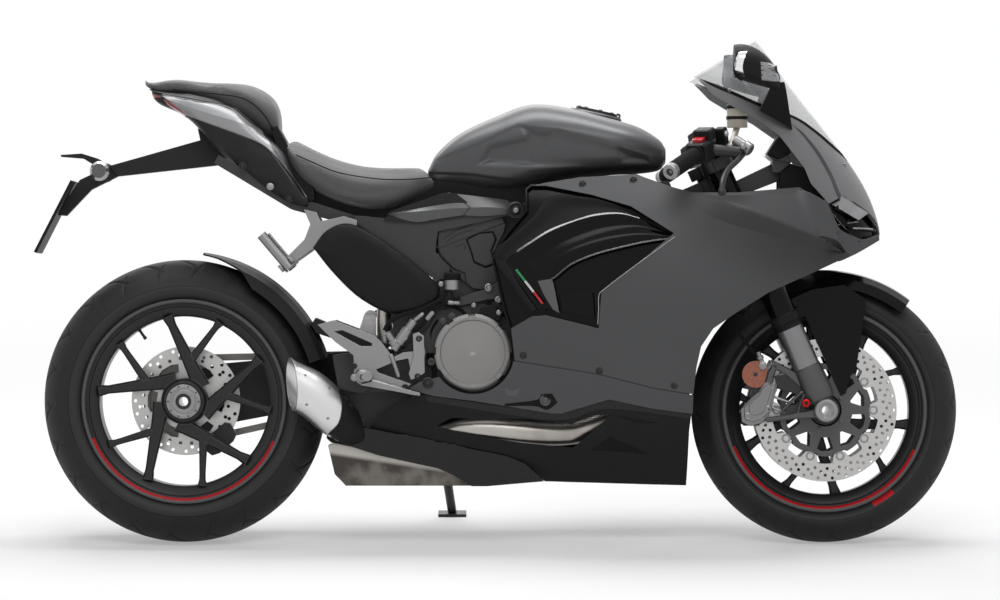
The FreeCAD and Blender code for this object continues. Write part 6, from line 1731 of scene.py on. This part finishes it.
LEG_RINGS = [
    (28, 0), (31.5, 1), (31.5, 8), (30.4, 9), (30.4, 12), (33, 14), (34, 22), (34, 32), (31, 35), (28, 35)
]
seal = lathe_part(LEG_RINGS, right_leg(200), AXIS_UP, 48)
pair("fork_seals", [seal], satin_black, "steering", smooth=30)
dark_tube = [lathe_part([(27, 234), (30.3, 235), (30.3, 299), (27, 300)], right_leg(0), AXIS_UP, 48)]
pair("fork_upper_sleeves", dark_tube, gloss_paint, "steering", smooth=30)
pale = [lathe_part([(27, 106), (30.3, 107), (30.3, 200), (27, 201)], right_leg(0), AXIS_UP, 48)]
pair("fork_lower_tubes", pale, fork_metal, "steering", smooth=30)
foot_rows = [(27, 24), (31.5, 30), (33, 45), (33, 72), (31.5, 105), (30, 107), (27, 107)]
foot = [lathe_part(foot_rows, right_leg(0), AXIS_UP, 48)]
arms = [
    ([(584, 276), (640, 284), (704, 292)], [11, 13, 22]),
    ([(596, 402), (628, 386), (668, 358)], [15, 16, 26]),
    ([(618, 296), (645, 322), (672, 346)], [8, 8, 10]),
    ([(604, 398), (594, 380), (590, 360)], [14, 16, 18]),
    ([(652, 288), (662, 318), (676, 350)], [8, 8, 10]),
]
for path, widths in arms:
    foot.append(beam_part([(x, -109, z) for x, z in path], widths, [13] * 3, 3))
pair("fork_feet", foot, disc_carrier, "steering", smooth=30)
FRONT_NUT = [(25, 0), (25, 3), (22, 5), (17, 5), (15, 3), (12, 3), (11, 0)]
nut = [lathe_part(FRONT_NUT, FRONT_AXLE - [0, 128, 0], (0, -1, 0), 40)]
pair("front_axle_rings", nut, bright_casting, "steering", smooth=30)
red_ring = [lathe_part([(4, 0), (9, 0), (9, 5), (7, 6), (4, 6)], (672, -126, 314), (0, -1, 0), 28)]
pair("wheel_speed_ring", red_ring, red_metal, "steering", smooth=30)

# %% Calipers
CALIPER = [
    (567, 340), (579, 364), (591, 376), (611, 380), (612, 362), (600, 317), (588, 282), (572, 269),
    (549, 262), (529, 272), (527, 300), (543, 318), (556, 330)
]
caliper_y = skin_y("front_calipers", 575, 310)
middle = np.mean(CALIPER, 0)
caliper_parts = [plate_part(middle + (np.array(CALIPER) - middle) * share, caliper_y - out, caliper_y + 3)
                 for share, out in ((1.0, 5), (0.84, 10), (0.6, 12))]
CALIPER_BOLT = [(9, 2), (9, -9), (7, -11), (4, -11), (3, -8), (0, -8)]
for x, z in ((543, 284), (597, 352), (588, 300)):
    caliper_parts.append(knob_part(CALIPER_BOLT, (x, caliper_y, z), 28, (0, 1, 0)))
pair("caliper_shells", caliper_parts, fork_metal, "steering", smooth=30, bevel=2.5)
pin_y = caliper_y + 2
pins = [
    tube_part([(596, pin_y, 330), (634, pin_y, 316)], 3, 8),
    tube_part([(592, pin_y, 306), (626, pin_y, 292)], 3, 8)
]
pair("pad_pins", pins, bright_casting, "steering")
dot = [knob_part([(4.5, 0), (4.5, 2.5), (3, 3), (0, 3)], on_skin("reflectors", [(560, 378)], 0)[0], 16)]
pair("reflector_screws", dot, black_casting, "steering", smooth=30)
HOSE_END = [(0, 6), (0.3, 6), (0.35, 8), (0.6, 8), (0.65, 5), (1, 5)]
hose_end = [barrel((574, -102, 404), (566, -104, 428), HOSE_END),
            knob_part([(9, -6), (9, 8), (5, 10), (0, 10)], (576, -104, 398))]
pair("hose_fittings", hose_end, bright_casting, "steering", smooth=30)

# %% [markdown]
# ## Padded seats
# Both seats are foam under a stretched cover. The cover's soft swell comes from a cloth simulation: a
# slightly shrunken, evenly meshed copy of the seat's solid is blown up from inside with no gravity, and no
# point may move further than a few millimetres, so the seat keeps its outline. Seams are added afterwards.

# %% Blowing up a cover
def evaluated_mesh(made):
    """The mesh of an object with its modifiers applied."""
    graph = bpy.context.evaluated_depsgraph_get()
    return bpy.data.meshes.new_from_object(made.evaluated_get(graph))


def mesh_points(mesh):
    """All points of a mesh as one array."""
    flat_points = np.empty(len(mesh.vertices) * 3)
    mesh.vertices.foreach_get("co", flat_points)
    return flat_points.reshape(-1, 3)


def padded_cover(name, source, cap, finish, grid=0.006):
    """A seat from its solid: merged copy, voxel grid, shrink, twenty frames of pressure, a capped move
    and one subdivision. The move of each point is d * min(1, cap / |d|)."""
    mesh = nodes[source].data.copy()
    work = bmesh.new()
    work.from_mesh(mesh)
    bmesh.ops.remove_doubles(work, verts=work.verts, dist=0.0001)
    work.to_mesh(mesh)
    work.free()
    made = bpy.data.objects.new(name, mesh)
    bpy.context.scene.collection.objects.link(made)
    voxel = made.modifiers.new("grid", "REMESH")
    voxel.mode, voxel.voxel_size = "VOXEL", grid
    relax = made.modifiers.new("relax", "SMOOTH")
    relax.factor, relax.iterations = 0.5, 2
    shrink = made.modifiers.new("shrink", "DISPLACE")
    shrink.strength, shrink.mid_level = -0.0015, 0.0
    smaller = evaluated_mesh(made)
    made.modifiers.clear()
    made.data = smaller
    start = mesh_points(smaller)
    cloth_sim = made.modifiers.new("cover", "CLOTH")
    settings = cloth_sim.settings
    settings.quality, settings.mass = 6, 0.25
    settings.use_pressure, settings.uniform_pressure_force = True, 4.0
    settings.tension_stiffness, settings.compression_stiffness, settings.shear_stiffness = 20, 20, 10
    settings.bending_stiffness = 2.0
    settings.effector_weights.gravity = 0
    cloth_sim.point_cache.frame_start, cloth_sim.point_cache.frame_end = 1, 20
    for frame_number in range(1, 21):
        bpy.context.scene.frame_set(frame_number)
    swollen = mesh_points(evaluated_mesh(made))
    made.modifiers.clear()
    bpy.context.scene.frame_set(1)
    move = swollen - start
    reach = np.linalg.norm(move, axis=1)[:, None]
    start = start + move * np.minimum(1, cap / np.maximum(reach, 1e-9))
    print(f"{name}: the cover moved up to {reach.max() * 1000:.1f} mm, kept to {cap * 1000:.0f}")
    made.data.vertices.foreach_set("co", start.ravel())
    made.data.materials.clear()
    made.data.materials.append(finish)
    made.data.shade_smooth()
    finer = made.modifiers.new("finer", "SUBSURF")
    finer.levels = finer.render_levels = 1
    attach(made, "motorcycle")
    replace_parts(made, source)
    print(name, len(made.data.polygons), "faces before subdivision")
    return made


padded_cover("rider_seat_cover", "rider_seat", 0.006, cloth)
padded_cover("passenger_seat_pad", "passenger_seat", 0.006, cloth)

# %% [markdown]
# ## Seams
# The panels of each cover meet in a piped seam near the upper edge, which follows the seat's own skin.

# %% Piping
SEAMS = {
    "rider_seat": [(-466, 868), (-430, 852), (-370, 828), (-280, 814), (-210, 814), (-168, 818)],
    "passenger_seat": [
        (-745, 1016), (-700, 1010), (-640, 1004), (-590, 996), (-560, 980), (-535, 954), (-518, 925)
    ],
}
piping = []
for source, points in SEAMS.items():
    piping.append(tube_part(on_skin(source, points, 0.8), 1.5, 6, 60))
pair("seat_piping", piping, grip_rubber)

# %% [markdown]
# ## Floor and background
# A plain pale floor takes the shadow. Camera rays also see it glow a little, and fully white further
# out, so the background is white without more light on the bike. The world is white to the camera, to
# glossy and to clear surfaces, and a soft grey to everything else.

# %% Floor and world
def seen_plainly(r):
    """1 for rays from the camera and for those that glossy and clear surfaces send on, else 0."""
    rays = [r.add("LightPath", out=f"Is {kind} Ray") for kind in ("Camera", "Glossy", "Transmission")]
    return rays[0].math("MAXIMUM", rays[1]).math("MAXIMUM", rays[2])


def floor_material():
    """Pale diffuse floor that camera rays see lifted near the bike and plain white away from it."""
    r = Recipe("studio_floor")
    x, y, z = r.split(r.place)
    away = ((x * x * 0.5 + y * y).math("SQRT")).ramp(0.9, 3.0)
    plain = r.add("BsdfDiffuse", {}, {"Color": (0.86, 0.86, 0.86, 1)})
    glow = r.add("Emission", {}, {"Color": (1, 1, 1, 1), "Strength": 1.0})
    r.end(r.add("MixShader", {}, {0: seen_plainly(r) * (0.35 + away * 0.65), 1: plain, 2: glow}))
    return r.material


bpy.ops.mesh.primitive_plane_add(size=120)
floor = bpy.context.object
floor.name = "studio_floor"
floor.data.materials.append(floor_material())

world = bpy.data.worlds.new("studio")
bpy.context.scene.world = world
sky = Recipe("studio_sky", world)
soft = sky.add("Background", {}, {"Color": (0.28, 0.28, 0.28, 1)})
white = sky.add("Background", {}, {"Color": (1, 1, 1, 1)})
sky.end(sky.add("MixShader", {}, {0: seen_plainly(sky), 1: soft, 2: white}), "World")
print("world", world.name, "with", len(world.node_tree.nodes), "nodes")

# %% [markdown]
# ## Soft boxes
# Matt paint shows its form by wide soft gradients, which only large lamps give. One hangs overhead and
# draws the bright upper edges, a wide one hangs high on the camera's side, and a weaker one lights the
# far side.

# %% Soft boxes
LAMPS = [
    ("overhead", (0.0, 0.5, 3.2), (0, 0, 0.5), 3.4, 1.2, 110),
    ("camera_side", (0.4, -3.6, 4.4), (0, 0, 0.5), 4.0, 1.4, 80),
    ("far_side", (-1.0, 5.0, 2.6), (0, 0, 0.6), 4.0, 1.2, 60),
]
for name, spot, target, wide, deep, watts in LAMPS:
    lamp = bpy.data.lights.new(name, "AREA")
    lamp.shape, lamp.size, lamp.size_y, lamp.energy = "RECTANGLE", wide, deep, watts
    holder = bpy.data.objects.new(name, lamp)
    holder.location = spot
    holder.rotation_mode = "QUATERNION"
    holder.rotation_quaternion = (Vector(target) - Vector(spot)).to_track_quat("-Z", "Y")
    bpy.context.scene.collection.objects.link(holder)
bpy.context.scene.view_settings.view_transform = "Standard"
print(len(LAMPS), "soft boxes")
